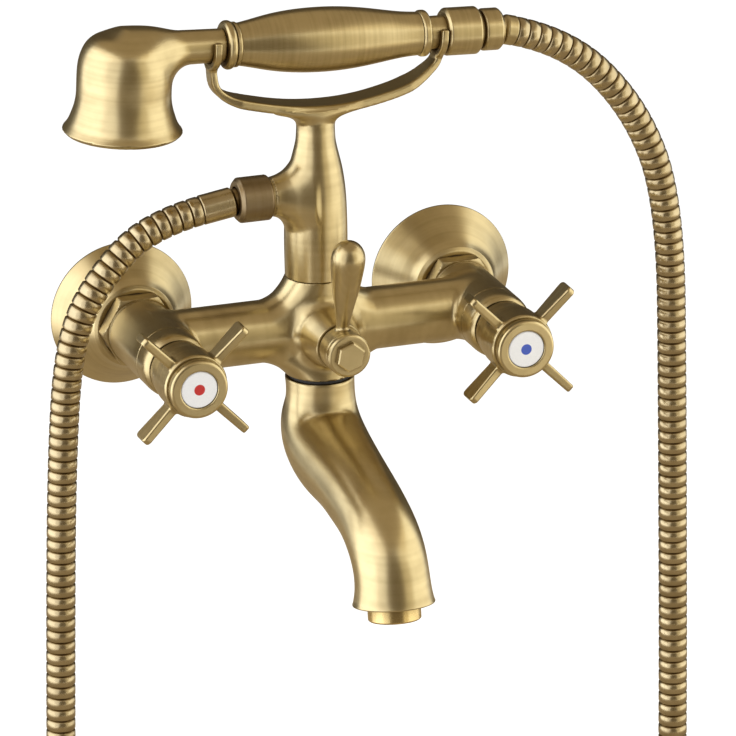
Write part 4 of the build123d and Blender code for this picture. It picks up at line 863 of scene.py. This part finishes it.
def handle_field(points, x, hub, root_round):
    """Turned hub and four blades. A blade is a block that widens and thins towards its
    tip, with rounded tip corners and edges; the four are one blade folded by symmetry."""
    points = points - (x, 0, AXIS_Z)
    depth = -points[:, 1]
    across, high = points[:, 0], points[:, 2]
    field = turned_field(points, hub, np.zeros(3), OUT)
    a = (across + high) / math.sqrt(2)
    b = (high - across) / math.sqrt(2)
    first = np.abs(a) > np.abs(b)
    run = np.where(first, np.abs(a), np.abs(b))
    off = np.where(first, np.abs(b), np.abs(a))
    share = np.clip((run - 12) / 21, 0, 1)
    thick = 2.15 - 0.3 * share
    wide = 3.8 + (5.3 - 3.8) * share
    from_middle = np.abs(depth - 97.696)
    plan = block_field((np.abs(run - 22.5) - 10.5, from_middle - wide), 2.2)
    blade = block_field((plan, off - thick), 0.9)
    return fillet(field, blade, root_round)


def make_handles(sizes):
    back, length, radius = 79, 24, 14.25
    curve = [(back + length * d, radius * r) for d, r in (
        (0.0, 0.905), (0.17, 0.94), (0.33, 0.975), (0.42, 1.0), (0.95, 1.0), (1.0, 0.97))]
    hub = eased((
        *curve, (103, 10.0), (99, 10.0), (99, 3.95), (90, 3.95), (90, 11.3), (79, 11.3),
    ), 0.35)
    half = 26.5
    for side, x, body in SIDES:
        cast_piece(
            f"cross_handle_{side}", lambda p, x=x: handle_field(p, x, hub, 1.1),
            (x - half, -104.5, AXIS_Z - half), (x + half, -78, AXIS_Z + half), sizes.fine_cell,
            f"brass_turned_{side}", body, f"handle_{side}",
        )


def make_index_caps():
    """Turned ring on a handle's front, and the white button in it."""
    cap = eased((
        (100.5, 7.0), (100.5, 9.95), (103.0, 9.95), (103.0, 12.7), (103.5, 13.0), (106.5, 13.0),
        (107.1, 12.55), (107.4, 11.9), (107.4, 8.85), (107.1, 8.4), (105.4, 8.4), (105.4, 7.0),
    ), 0.25)
    disc = eased(
        ((105.4, 0), (105.4, 8.3), (106.5, 8.3), (107.0, 7.8), (107.0, 0)), 0.2, closed=False
    )
    enamels = {"left": "enamel_hot", "right": "enamel_cold"}
    for side, x, body in SIDES:
        centre = axis_point(x)
        turned_piece(
            f"index_bezel_{side}", cap, centre, OUT, f"brass_turned_{side}", body,
            f"index_cap_{side}"
        )
        turned_piece(
            f"index_button_{side}", disc, centre, OUT, enamels[side], body, f"index_disc_{side}",
            "white_enamel", closed=False,
        )


# ---------------------------------------------------------------- body casting

BODY_HEIGHTS = np.array((-19.6, -16.268, -12.152, -7.056, 0.0, 7.08, 12.508, 16.756, 20.532, 23.6))
BODY_HALF_WIDTHS = np.array((15.3, 18.72, 24.84, 30.96, 36.0, 30.96, 23.76, 18.54, 15.3, 13.5))
BODY_HALF_DEPTHS = np.array((15.3, 14.994, 14.076, 13.158, 12.4, 13.365, 13.5, 13.5, 13.5, 13.5))
BODY_MIDDLES = np.array((50.0, 49.15, 48.1, 46.8, 45.0, 45.0, 45.0, 45.0, 45.0, 45.0))


def make_body(sizes):
    """Casting: bar, two valve housings, a middle whose oval level sections widen down to
    the bar and narrow to the riser and spout seats, and the diverter boss, filleted where
    they meet, less the water passages."""
    low, high = BODY_HEIGHTS[0], BODY_HEIGHTS[-1]
    table = np.stack([BODY_HEIGHTS, BODY_HALF_WIDTHS, BODY_HALF_DEPTHS, BODY_MIDDLES], 1)
    table = smooth_line(table, 120)
    housing = eased(
        ((29, 0), (29, HOUSING_RADIUS), (HOUSING_FRONT, HOUSING_RADIUS), (HOUSING_FRONT, 0)), 0.4
    )
    shares = (0.0, 1.415), (0.31, 1.32), (0.69, 1.132), (1.0, 1.0)
    boss = np.vstack([[(50, 0)], swelling(50, 26, 10.6, shares, 16), [(76, 0)]])
    boss = eased(boss, 0.5)
    passage = (
        (28, 0), (28, 9.45), (38, 9.45), (38, 7.5), (44, 7.5), (44, 9.2), (56, 9.2), (56, 10.48),
        (67, 10.48), (67, 0),
    )
    diverter_bore = (41, 0), (41, 9.0), (77, 9.0), (77, 0)
    riser_bore = (0, 0), (0, 6.5), (13, 6.5), (13, 9.45), (24.6, 9.45), (24.6, 0)
    spout_bore = (-20.6, 0), (-20.6, 9.45), (-11, 9.45), (-11, 7.0), (0, 7.0), (0, 0)
    centre = axis_point(0)
    tap = np.zeros(3)

    def field(p):
        folded = np.stack([np.abs(p[:, 0]) - HALF_SPACING, p[:, 1], p[:, 2] - AXIS_Z], 1)
        level = p[:, 2] - AXIS_Z
        beyond = np.abs(p[:, 0]) - HALF_SPACING
        bar = np.maximum(np.hypot(p[:, 1] + BAR_DEPTH, level) - BAR_RADIUS, beyond)
        taps = turned_field(folded, housing, tap, OUT)
        half_x, half_y, middle = (np.interp(level, table[:, 0], table[:, k]) for k in (1, 2, 3))
        waist = oval_field(p[:, 0], p[:, 1] + middle, half_x, half_y)
        waist = cut(waist, -np.maximum(level - high, low - level), 0.4)
        nose = turned_field(p, boss, centre, OUT)
        solid = fillet(bar, taps, 2.6)
        solid = fillet(solid, waist, 3.0)
        solid = fillet(solid, nose, 4.5)
        hollow = turned_field(folded, passage, tap, OUT)
        hollow = np.minimum(hollow, turned_field(p, diverter_bore, centre, OUT))
        hollow = np.minimum(hollow, turned_field(p, riser_bore, axis_point(0, RISER_DEPTH), UP))
        hollow = np.minimum(hollow, turned_field(p, spout_bore, axis_point(0, SPOUT_DEPTH), UP))
        water = np.maximum(np.hypot(p[:, 1] + 50, level) - 5.0, beyond)
        return cut(solid, np.minimum(hollow, water), 0.3)

    cast_piece(
        "body_casting", field, (-92, -78, -14), (92, -27, 33.5), sizes.cell, "brass_casting",
        "fixture", "mixer_body"
    )


# ---------------------------------------------------------------- diverter

def make_diverter(sizes):
    """Lever: turned hub and a drop-shaped arm that leans forward, filleted at its root.
    Cap: a turned disc that carries a hexagon."""
    hub = eased((
        (76.3, 3.95), (76.3, 9.8), (86.0, 9.8), (86.0, 6.05), (84.0, 6.05), (84.0, 3.95),
    ), 0.8)
    bore = (70, 0), (70, 3.95), (84, 3.95), (84, 6.05), (90, 6.05), (90, 0)
    ball_radius = 7.6
    root_depth, root_height = 78.9, 7.6
    run, rise = 88.6 - root_depth, 52.4 - root_height
    length = math.hypot(run, rise)
    heading = np.array((0, -run, rise)) / length
    root = axis_point(0, root_depth) + UP * root_height
    shares = (
        (0.0, 0.36), (0.10, 0.39), (0.20, 0.475), (0.35, 0.64), (0.50, 0.80), (0.64, 0.91),
        (0.78, 0.985), (0.85, 0.965), (0.91, 0.84), (0.965, 0.56), (1.0, 0.0),
    )
    drop = np.vstack([[(0, 0)], swelling(0, length, ball_radius, shares, 60)])
    drop[-1, 1] = 0
    centre = axis_point(0)

    def field(p):
        lever = fillet(turned_field(p, hub, centre, OUT), turned_field(p, drop, root, heading), 1.6)
        return cut(lever, turned_field(p, bore, centre, OUT), 0.2)

    cast_piece(
        "diverter_handle", field, (-11, -99, -3), (11, -75, 67), sizes.fine_cell, "brass_centre",
        "diverter", "diverter_lever"
    )

    outer = eased((
        (84.0, 0), (84.0, 6.0), (86.0, 6.0), (86.0, 9.8), (88.0, 9.8), (88.6, 9.4), (89.0, 8.8),
        (89.0, 6.8),
    ), 0.3, closed=False)
    steps = 6 * 24
    key = np.array((
        (89.0, 1.04), (89.1, 1.0), (90.9, 1.0), (91.15, 0.965), (91.4, 0.9), (91.4, 0.86),
        (91.4, 0.4),
    ))
    along = np.concatenate([outer[1:, 0], key[:, 0]])
    flat = hexagon(steps, 5.8, math.radians(20.0))
    radii = np.vstack([np.repeat(outer[1:, 1, None], steps, 1), key[:, 1, None] * flat])
    ends = centre + OUT * along[0], centre + OUT * along[-1]
    points, faces = shell(outward_rings(centre, along, radii), ends)
    piece(
        "diverter_hexagon_cap", points, faces, "brass_centre", "diverter", "diverter_cap",
        sharp=32.0
    )


# ---------------------------------------------------------------- spout

SPOUT_SHARES = (
    (0.0, 0.0, .829), (0.0, .038, .821), (-.004, .12, .772), (-.009, .202, .862),
    (.006, .304, .962), (.111, .409, 1.0), (.264, .46, .976), (.429, .488, .916),
    (.589, .529, .889), (.718, .572, .873), (.835, .638, .878), (.931, .74, .883),
    (.978, .856, .889), (.993, .937, .921), (1.0, 1.0, .976),
)


def make_spout():
    """Tube along the spout's curved line: circles square to the line whose radius follows
    the table, closed over its top seat, its bore and its mouth, which leans forward."""
    count, steps = 90, 112
    top, forward, fall, radius = -21.2, 94.1, 73.4, 18.45
    knots = np.array(
        [(SPOUT_DEPTH + forward * f, top - fall * h, radius * r) for f, h, r in SPOUT_SHARES]
    )
    line = smooth_line(knots, count)
    heading = np.gradient(line[:, :2], axis=0)
    heading /= np.linalg.norm(heading, axis=1, keepdims=True)
    heading[0] = (0, -1)
    lean = math.radians(10.0)
    mouth_heading = np.array((math.sin(lean), -math.cos(lean)))
    last = 14
    share = np.linspace(0, 1, last)[:, None] ** 2  # the last circles turn to the mouth's lean
    heading[-last:] = heading[-last:] * (1 - share) + mouth_heading * share
    heading /= np.linalg.norm(heading, axis=1, keepdims=True)
    reach = reach_of(line[:, :2])
    wall = np.interp(np.linspace(0, 1, count), (0, 0.19, 0.26, 0.93, 1.0), (0, 4.4, 5.0, 5.0, 6.0))
    bore = np.maximum(line[:, 2] - wall, 9.0)

    def rings(places, headings, radii):
        """Circles of the given radii round places (depth, height), square to headings."""
        level = np.zeros(len(radii))
        centres = np.stack([level, -places[:, 0], AXIS_Z + places[:, 1]], 1)
        facing = np.stack([level, -headings[:, 0], headings[:, 1]], 1)
        return rings_along(centres, facing, (1.0, 0.0, 0.0), radii, steps)

    def collar(row, profile):
        """Circles at one end of the line: (distance along its heading, radius)."""
        profile = np.array(profile)
        places = line[row, :2] + profile[:, :1] * heading[row]
        headings = np.repeat(heading[row : row + 1 or None], len(profile), 0)
        return rings(places, headings, profile[:, 1])

    neck, rim = line[0, 2], line[-1, 2]
    skin = (reach > 0.9) & (reach < reach[-1] - 1.0)
    outside = rings(line[skin, :2], heading[skin], line[skin, 2])
    inner_side = np.clip(0.4 + np.sin(circle(steps)), 0.05, 1)
    inner_bend = np.interp(reach[skin], (0, 55, 80), (1, 1, 0))[:, None] * inner_side
    for _ in range(100):  # the inner side of the bend is smoothed along the line
        bulge = (outside[:-2] + outside[2:]) / 4 - outside[1:-1] / 2
        outside[1:-1] += inner_bend[1:-1, :, None] * bulge
    water = np.flatnonzero((reach > 20.6) & (reach < reach[-1] - 8.6))[::-1]
    grid = np.concatenate([
        collar(0, [(0, 11.4), (0, neck - 0.7), (0, neck - 0.5), (0.15, neck - 0.15), (0.5, neck)]),
        outside,
        collar(-1, [(-0.55, rim), (-0.16, rim - 0.14), (0, rim - 0.5), (0, rim - 0.9), (0, 12.1),
                    (-0.25, 11.75), (-0.6, 11.7), (-7.9, 11.7), (-8.0, 10.8)]),
        rings(line[water, :2], heading[water], bore[water]),
        collar(0, [(20.3, 10.4), (20.0, 11.06), (0.35, 11.06)]),
    ])
    points, faces = shell(grid)
    piece("swan_spout", points, faces, "brass_upright", "spout", "spout")

    mouth = axis_point(0, line[-1, 0]) + UP * line[-1, 1]
    outline = eased((
        (-8, 10.4), (-8, 11.6), (0.5, 11.6), (0.5, 11.1), (1.0, 11.1), (1.0, 11.6), (6.4, 11.6),
        (7.0, 11.0), (7.0, 10.4),
    ), 0.2)
    turned_piece(
        "aerator_sleeve", outline, mouth, (0, -mouth_heading[0], mouth_heading[1]),
        "brass_machined", "spout", "aerator_housing", "polished_brass",
    )


# ---------------------------------------------------------------- riser and cradle

CRADLE_SHARES = (
    (-.99, .845), (-1, .79), (-.998, .702), (-.977, .58), (-.922, .485), (-.817, .401),
    (-.632, .327), (-.421, .264), (-.211, .219), (0, .193), (.177, .19), (.354, .216),
    (.584, .28), (.796, .388), (.913, .507), (.977, .605), (1, .69),
)


def make_riser(sizes):
    """Casting: turned pillar, side outlet of oval sections that shrink away from it, the
    cradle's bar carried along its curve, a foot under it and two open saddles, filleted
    where they meet, less the water passages."""
    top, radius = 93.0, 13.9
    shares = (
        (0, .978), (.105, .989), (.235, 1), (.394, .986), (.524, .957), (.625, .906),
        (.719, .827), (.798, .734), (.885, .633), (.949, .583), (.975, .566), (1.0, .54),
    )
    seat_height = 23.7
    pillar = swelling(seat_height, top - seat_height, radius, shares, 50)
    spigot = [(13.5, 0), (13.5, 9.4), (seat_height, 9.4)]
    pillar = eased(np.vstack([spigot, pillar, [(pillar[-1, 0], 0)]]), 0.4)
    outlet_length, mouth = 20.7, 8.7
    sections = (  # share of its length, half depth, half height and drop of its middle
        (.242, 1.425, 1.770, -.253), (.483, 1.310, 1.632, -.184), (.652, 1.172, 1.425, -.115),
        (.797, 1.057, 1.195, -.057), (.908, 1.011, 1.057, -.011), (1, 1, 1, 0),
    )
    outlet = [(outlet_length * s, mouth * y, mouth * z, mouth * c) for s, y, z, c in sections]
    outlet = smooth_line([(0, 15.5, 19.5, -.32 * mouth)] + outlet, 60)
    rise = HANDSET_HEIGHT - top
    knots = np.array(
        [((CRADLE_RIGHT if u > 0 else CRADLE_LEFT) * u, top + rise * h) for u, h in CRADLE_SHARES]
    )
    line = smooth_line(knots, 110)
    share = np.abs(line[:, 0]) / np.where(line[:, 0] > 0, CRADLE_RIGHT, CRADLE_LEFT)
    past = np.clip((share - 0.75) / 0.25, 0, 1)  # the bar narrows towards both of its ends
    halves = np.stack([2.1 - 0.5 * past, 6.5 - 2.5 * past], 1)
    sections = (  # height, half width and half depth
        (-.2, .555, .555), (-.13, .57, .57), (-.079, .58, .575), (-.005, .61, .565),
        (.063, .72, .55), (.127, .98, .52), (.166, 1.3, .5),
    )
    foot = smooth_line([(rise * h, radius * a, radius * b) for h, a, b in sections], 40)
    centre = axis_point(0, RISER_DEPTH)
    bores = (12.5, 0), (12.5, 6.5), (68, 6.5), (68, 0)

    def field(p):
        x, out, high = p[:, 0], p[:, 1] + RISER_DEPTH, p[:, 2] - AXIS_Z
        post = turned_field(p, pillar, centre, UP)
        reach = np.clip(-x, 0, outlet_length)
        half_y, half_z, drop = (np.interp(reach, outlet[:, 0], outlet[:, k]) for k in (1, 2, 3))
        from_outlet = np.hypot(out, high - OUTLET_HEIGHT)
        neck = oval_field(out, high - OUTLET_HEIGHT - drop, half_y, half_z)
        neck = cut(neck, -np.maximum(-x - outlet_length, x + 5.0), 0.4)
        thread = np.maximum(from_outlet - 8.2, np.maximum(-x - 29.7, x + 5.0))
        solid = fillet(fillet(post, neck, 3.5), thread, 0.3)
        gap, half = line_gap(x, high, line, halves)
        bar = block_field((gap - half[:, 0], np.abs(out) - half[:, 1]), 1.1)
        level = np.clip(high - top, foot[0, 0], foot[-1, 0])
        half_x, half_y = (np.interp(level, foot[:, 0], foot[:, k]) for k in (1, 2))
        stand = oval_field(x, out, half_x, half_y)
        stand = np.maximum(stand, np.maximum(high - top - foot[-1, 0], top + foot[0, 0] - high))
        solid = fillet(solid, fillet(bar, stand, 4.5), 1.5)
        from_axis = p - HANDSET
        along = from_axis @ ALONG
        above = from_axis @ ABOVE
        radial = np.where(above < 0, np.hypot(out, above), np.abs(out))
        for place in (-CRADLE_LEFT, CRADLE_RIGHT):
            beside = np.abs(along - place)
            saddle = block_field((np.abs(radial - 9.15) - 1.55, beside - 1.6, above - 3.8), 0.75)
            solid = fillet(solid, saddle, 1.2)
            solid = cut(solid, np.maximum(radial - 7.55, beside - 4.0), 0.3)
        hollow = turned_field(p, bores, centre, UP)
        side = np.maximum(from_outlet - 5.5, np.maximum(x, -x - 40))
        return cut(solid, np.minimum(hollow, side), 0.3)

    low, high = (-53, -RISER_DEPTH - 20, 20.5), (62, -RISER_DEPTH + 20, 146.5)
    cast_piece(
        "riser_and_cradle", field, low, high, sizes.cell, "brass_upright", "fixture", "riser"
    )


# ---------------------------------------------------------------- handset

def make_handset(sizes):
    """Head: turned bell and the neck that runs into it, filleted, with the bell's hollow
    and the water way taken out."""
    radius, rim = 26.2, -35.1
    shares = (
        (0.0, 1.0), (.06, .925), (.14, .868), (.25, .812), (.356, .787), (.46, .786),
        (.579, .786), (.698, .771), (.802, .725), (.902, .63), (.96, .496), (.99, .28),
        (1.0, 0.0),
    )
    bell = swelling(rim, 43.0, radius, shares, 60)
    bell[-1, 1] = 0
    outer = eased(np.vstack([bell, [(-36.8, 0), (-36.8, 24.5)]]), 0.4)
    inside = smooth_line([(rim + 41.0 * h, radius * r - 2.0) for h, r in shares[1:-2]], 40)
    inner = np.vstack([
        [(-38.5, 0), (-38.5, 22.85), (-33.1, 22.85), (-33.1, inside[0, 1])], inside,
        [(inside[-1, 0], 0)],
    ])
    neck = eased(((HEAD_PLACE, 0), (HEAD_PLACE, 7.9), (-70.0, 7.7), (-42.6, 7.3), (-42.6, 0)), 0.3)
    water = (HEAD_PLACE, 0), (HEAD_PLACE, 5.3), (-42.0, 5.3), (-42.0, 0)

    def field(p):
        solid = turned_field(p, outer, HEAD, ABOVE)
        tube = turned_field(p, neck, HANDSET, ALONG)
        hollow = np.minimum(
            turned_field(p, inner, HEAD, ABOVE), turned_field(p, water, HANDSET, ALONG)
        )
        return cut(fillet(solid, tube, 9.0), hollow, 0.3)

    low, high = HEAD + (-30, -28.5, -42), HEAD + (46.5, 28.5, 12)
    cast_piece(
        "handset_bell", field, low, high, sizes.cell, "brass_head", "handset", "handset_head"
    )


def make_grip():
    """The turned pieces between the head and the hose's nut: two rings, the grip and the
    collar, one after another on the water tube."""
    bore = 5.05
    left, right = -36.3, 47.0
    ring_left = (
        (-42.5, bore), (-42.5, 9.4), (-41.9, 10.3), (-41.1, 10.7), (-39.9, 10.7), (-39.1, 10.3),
        (-38.5, 9.6), (-38.5, 9.0), (-38.3, 9.3), (-38.0, 9.9), (-36.8, 9.9), (left, 9.5),
        (left, bore),
    )
    shares = (
        (0.0, .652), (.063, .723), (.171, .858), (.291, .957), (.423, 1), (.555, .986),
        (.7, .901), (.832, .78), (.928, .702), (1, .674),
    )
    curve = swelling(left, right - left, 14.1, shares, 60)
    grip = np.vstack([curve, [(right, bore), (left, bore)]])
    ring_right = (
        (right, bore), (right, 9.0), (47.4, 9.7), (48.1, 10.2), (50.1, 10.2), (50.8, 9.7),
        (51.2, 8.9), (51.2, 7.3), (58.8, 7.3), (58.8, bore),
    )
    collar = (
        (58.8, bore), (58.8, 9.3), (60.0, 10.5), (73.7, 10.5), (74.9, 9.3), (74.9, 7.2),
        (79.1, 7.2), (79.1, 3.8), (72.0, 3.8), (72.0, bore),
    )
    for name, outline, ease, node, steps in (
        ("grip_ring_left", ring_left, 0.3, "ring_left", 128),
        ("handset_grip", grip, 0.3, "grip", 144),
        ("grip_ring_right", ring_right, 0.3, "ring_right", 128),
        ("handset_collar", collar, 0.4, "collar", 128),
    ):
        turned_piece(
            name, eased(outline, ease), HANDSET, ALONG, "brass_handset", "handset", node,
            steps=steps
        )


# ---------------------------------------------------------------- studio

def direction_of(azimuth, elevation):
    """Unit vector from the object towards a place at that azimuth and elevation, where
    azimuth 0 is straight out of the wall and 90 to the right."""
    a, e = math.radians(azimuth), math.radians(elevation)
    return math.sin(a) * math.cos(e), -math.cos(a) * math.cos(e), math.sin(e)


def facing(made, azimuth, elevation, target, distance):
    """Puts an object out from the target, and turns it to face the target."""
    way = Vector(direction_of(azimuth, elevation))
    made.location = target + way * distance
    made.rotation_euler = way.to_track_quat("Z", "Y").to_euler()


def lamp(name, azimuth, distance, level, colour):
    """Soft box: an area lamp whose brightness, seen from the object, is `level`."""
    data = bpy.data.lights.new(name, "AREA")
    data.shape = "RECTANGLE"
    data.size, data.size_y = LAMP_WIDTH, LAMP_HEIGHT
    data.energy = level * math.pi * LAMP_WIDTH * LAMP_HEIGHT
    data.color = colour
    made = placed(name, data)
    facing(made, azimuth, LAMP_ELEVATION, MIDDLE, distance)
    made.visible_camera = False


def sheet(name, corners, material):
    """Flat stage piece between four corners."""
    mesh = bpy.data.meshes.new(name)
    mesh.from_pydata(corners, [], [(0, 1, 2, 3)])
    mesh.materials.append(materials[material])
    made = placed(name, mesh)
    return made


def card(name, corners, colour, level):
    """Stage card that the metal reflects, left out of the camera's own view."""
    tree, shader = new_material(name)
    feed(tree, shader, {
        "Base Color": (0, 0, 0, 1), "Roughness": 1.0, "Emission Color": (*colour, 1),
        "Emission Strength": level,
    })
    made = sheet(name, corners, name)
    made.visible_camera = False
    made.visible_shadow = False
    made.visible_diffuse = False


def level_square(half, z):
    """Corners of a level square round the origin."""
    return [(-half, -half, z), (half, -half, z), (half, half, z), (-half, half, z)]


def shown_white(tree, strength):
    """Strength for rays from the camera, reflections and glass, and none for the rest."""
    path = put(tree, "LightPath").outputs
    either = reckon(tree, "MAXIMUM", path["Is Camera Ray"], path["Is Glossy Ray"])
    any_of = reckon(tree, "MAXIMUM", either, path["Is Transmission Ray"])
    return reckon(tree, "MULTIPLY", any_of, strength)


def make_stage(studio):
    scene = bpy.context.scene
    floor_z = cad_box[0][2] - 0.012
    tree, shader = new_material("floor_white")
    feed(tree, shader, {
        "Base Color": (0.86, 0.86, 0.85, 1), "Roughness": 0.9, "Emission Color": (1, 1, 1, 1),
        "Emission Strength": shown_white(tree, studio.floor_glow),
    })
    sheet("floor", level_square(14.0, floor_z), "floor_white")

    world = bpy.data.worlds.new("studio_world")
    world.use_nodes = True
    tree = world.node_tree
    white = shown_white(tree, 1.0 - studio.world_level)
    feed(tree, tree.nodes["Background"], {
        "Color": (1, 1, 1, 1), "Strength": reckon(tree, "ADD", white, studio.world_level),
    })
    scene.world = world

    lamp("soft_box_left", CAMERA_AZIMUTH - 66, 0.78, studio.left_level, (0.98, 0.98, 1.0))
    lamp("soft_box_right", CAMERA_AZIMUTH + 80, 1.0, studio.right_level, (1.0, 0.90, 0.66))
    half, half_width, high = 1.5, 2.2, 1.35
    low = floor_z + 0.004
    brown = tuple(studio.card_colour)
    card("card_top", level_square(half, high), brown, studio.top_level)
    card("card_table", level_square(half, low), brown, studio.table_level)
    front = Vector(direction_of(CAMERA_AZIMUTH + 8, 0))
    across = Vector((-front.y, front.x, 0)) * half_width
    for name, way, reach, level in (
        ("card_front", front, 1.6, studio.front_level),
        ("card_back", -front, 1.5, studio.back_level),
    ):
        foot = MIDDLE + way * reach
        left, right = foot - across, foot + across
        corners = [
            (at.x, at.y, z) for at, z in ((left, low), (right, low), (right, high), (left, high))
        ]
        card(name, corners, brown, level)

    data = bpy.data.cameras.new("camera")
    data.lens = CAMERA_LENS
    data.sensor_width = 36.0
    data.clip_end = 30.0
    camera = placed("camera", data)
    facing(camera, CAMERA_AZIMUTH, CAMERA_ELEVATION, CAMERA_TARGET, CAMERA_DISTANCE)
    scene.camera = camera
    scene.view_settings.view_transform = "Standard"


# ---------------------------------------------------------------- add-on

def cell_property(name, description, default, low, high):
    return FloatProperty(
        name=name, description=f"{description}, in millimetres", default=default, min=low, max=high
    )


def length_property(name, description, default, low, high):
    return FloatProperty(
        name=name, description=description, default=default, min=low, max=high, unit="LENGTH",
        subtype="DISTANCE",
    )


def colour_property(name, description, default):
    return FloatVectorProperty(
        name=name, description=f"Colour of {description}", default=default, subtype="COLOR", min=0,
        max=1,
    )


def brightness_property(name, description, default, high=10.0):
    return FloatProperty(
        name=name, description=f"Brightness {description}", default=default, min=0, max=high
    )


class MixerSizes(bpy.types.PropertyGroup):
    cell: cell_property(
        "Casting cell", "Distance between the points of a large casting", 0.75, 0.3, 3.0
    )
    fine_cell: cell_property(
        "Fine casting cell", "Distance between the points of a handle or the lever", 0.5, 0.2, 2.0
    )
    rib_pitch: length_property(
        "Rib pitch", "Distance from one rib of the hose to the next", 0.0053, 0.002, 0.02
    )
    rib_depth: length_property(
        "Rib depth", "Depth of the groove between two ribs", 0.001, 0.0001, 0.003
    )
    hose_sides: IntProperty(
        name="Hose sides", description="Number of points round the hose", default=32, min=8, max=64,
    )


class MixerFinish(bpy.types.PropertyGroup):
    bare: colour_property("Bare brass", "the brushed brass", (0.60, 0.50, 0.28))
    aged: colour_property(
        "Aged brass", "the brass in hollows and worn clouds", (0.19, 0.125, 0.045)
    )
    nut: colour_property("Nut", "the browner hose nut on the riser", (0.30, 0.235, 0.145))
    hose: colour_property("Hose", "the ribbed hose", (0.52, 0.435, 0.27))
    hot_mark: colour_property("Hot mark", "the mark on the left button", (0.55, 0.02, 0.02))
    cold_mark: colour_property("Cold mark", "the mark on the right button", (0.02, 0.08, 0.5))
    roughness: FloatProperty(
        name="Roughness", description="Roughness of the brushed brass", default=0.28, min=0, max=1,
        subtype="FACTOR",
    )


class MixerStudio(bpy.types.PropertyGroup):
    left_level: brightness_property("Left soft box", "of the left soft box", 1.25)
    right_level: brightness_property("Right soft box", "of the right soft box", 0.74)
    top_level: brightness_property("Top card", "of the card overhead", 0.44)
    table_level: brightness_property("Table card", "of the card below", 0.42)
    front_level: brightness_property("Front card", "of the card in front", 0.19)
    back_level: brightness_property("Back card", "of the card behind", 0.07)
    floor_glow: brightness_property(
        "Floor glow", "that the floor shows besides its light", 0.6, 2.0
    )
    world_level: brightness_property("World level", "of the plain surroundings", 0.5, 2.0)
    card_colour: colour_property("Card colour", "the cards round the object", (1.0, 0.78, 0.50))


class MIXER_OT_finishes(bpy.types.Operator):
    """Makes the finishes and puts them on the pieces that keep their CAD shape"""
    bl_idname = "mixer.finishes"
    bl_label = "Finishes"

    def execute(self, context):
        make_finishes(context.scene.mixer_finish)
        dress_hidden()
        return {"FINISHED"}


class MIXER_OT_hose(bpy.types.Operator):
    """Makes the ribbed hose, its nuts and its ferrules"""
    bl_idname = "mixer.hose"
    bl_label = "Hose"

    def execute(self, context):
        make_hose_ends()
        make_hose(context.scene.mixer_sizes)
        return {"FINISHED"}


class MIXER_OT_taps(bpy.types.Operator):
    """Makes the wall covers, union nuts, tap shrouds, cross handles, bezels and buttons"""
    bl_idname = "mixer.taps"
    bl_label = "Wall covers and taps"

    def execute(self, context):
        make_wall_covers()
        make_union_nuts()
        make_shrouds()
        make_handles(context.scene.mixer_sizes)
        make_index_caps()
        return {"FINISHED"}


class MIXER_OT_body(bpy.types.Operator):
    """Makes the body casting"""
    bl_idname = "mixer.body"
    bl_label = "Body"

    def execute(self, context):
        make_body(context.scene.mixer_sizes)
        return {"FINISHED"}


class MIXER_OT_diverter(bpy.types.Operator):
    """Makes the diverter's lever and its hexagon cap"""
    bl_idname = "mixer.diverter"
    bl_label = "Diverter"

    def execute(self, context):
        make_diverter(context.scene.mixer_sizes)
        return {"FINISHED"}


class MIXER_OT_spout(bpy.types.Operator):
    """Makes the swan spout and the aerator's sleeve"""
    bl_idname = "mixer.spout"
    bl_label = "Spout"

    def execute(self, context):
        make_spout()
        return {"FINISHED"}


class MIXER_OT_riser(bpy.types.Operator):
    """Makes the riser with its outlet and cradle"""
    bl_idname = "mixer.riser"
    bl_label = "Riser and cradle"

    def execute(self, context):
        make_riser(context.scene.mixer_sizes)
        return {"FINISHED"}


class MIXER_OT_handset(bpy.types.Operator):
    """Makes the handset's bell, grip, rings and collar"""
    bl_idname = "mixer.handset"
    bl_label = "Handset"

    def execute(self, context):
        make_handset(context.scene.mixer_sizes)
        make_grip()
        return {"FINISHED"}


class MIXER_OT_stage(bpy.types.Operator):
    """Makes the floor, the lamps, the cards and the camera"""
    bl_idname = "mixer.stage"
    bl_label = "Stage"

    def execute(self, context):
        make_stage(context.scene.mixer_studio)
        return {"FINISHED"}


OPERATORS = (
    MIXER_OT_finishes, MIXER_OT_stage, MIXER_OT_hose, MIXER_OT_taps, MIXER_OT_body,
    MIXER_OT_diverter, MIXER_OT_spout, MIXER_OT_riser, MIXER_OT_handset,
)


class MIXER_PT_panel(bpy.types.Panel):
    """Lists the mixer's sizes, finishes and steps"""
    bl_label = "Bath shower mixer"
    bl_idname = "MIXER_PT_panel"
    bl_space_type = "VIEW_3D"
    bl_region_type = "UI"
    bl_category = "Mixer"

    def draw(self, context):
        for settings in (
            context.scene.mixer_sizes, context.scene.mixer_finish, context.scene.mixer_studio
        ):
            box = self.layout.box()
            for name in settings.__annotations__:
                box.prop(settings, name)
        for operator in OPERATORS:
            self.layout.operator(operator.bl_idname)


SETTINGS = (
    ("mixer_sizes", MixerSizes), ("mixer_finish", MixerFinish), ("mixer_studio", MixerStudio)
)


def register():
    for name, kind in SETTINGS:
        bpy.utils.register_class(kind)
        setattr(bpy.types.Scene, name, PointerProperty(type=kind))
    for kind in (*OPERATORS, MIXER_PT_panel):
        bpy.utils.register_class(kind)


def unregister():
    for kind in reversed((*OPERATORS, MIXER_PT_panel)):
        bpy.utils.unregister_class(kind)
    for name, kind in reversed(SETTINGS):
        delattr(bpy.types.Scene, name)
        bpy.utils.unregister_class(kind)


def main():
    register()
    for operator in OPERATORS:
        group, name = operator.bl_idname.split(".")
        getattr(getattr(bpy.ops, group), name)()
    bpy.context.view_layer.update()


if __name__ == "__main__":
    main()
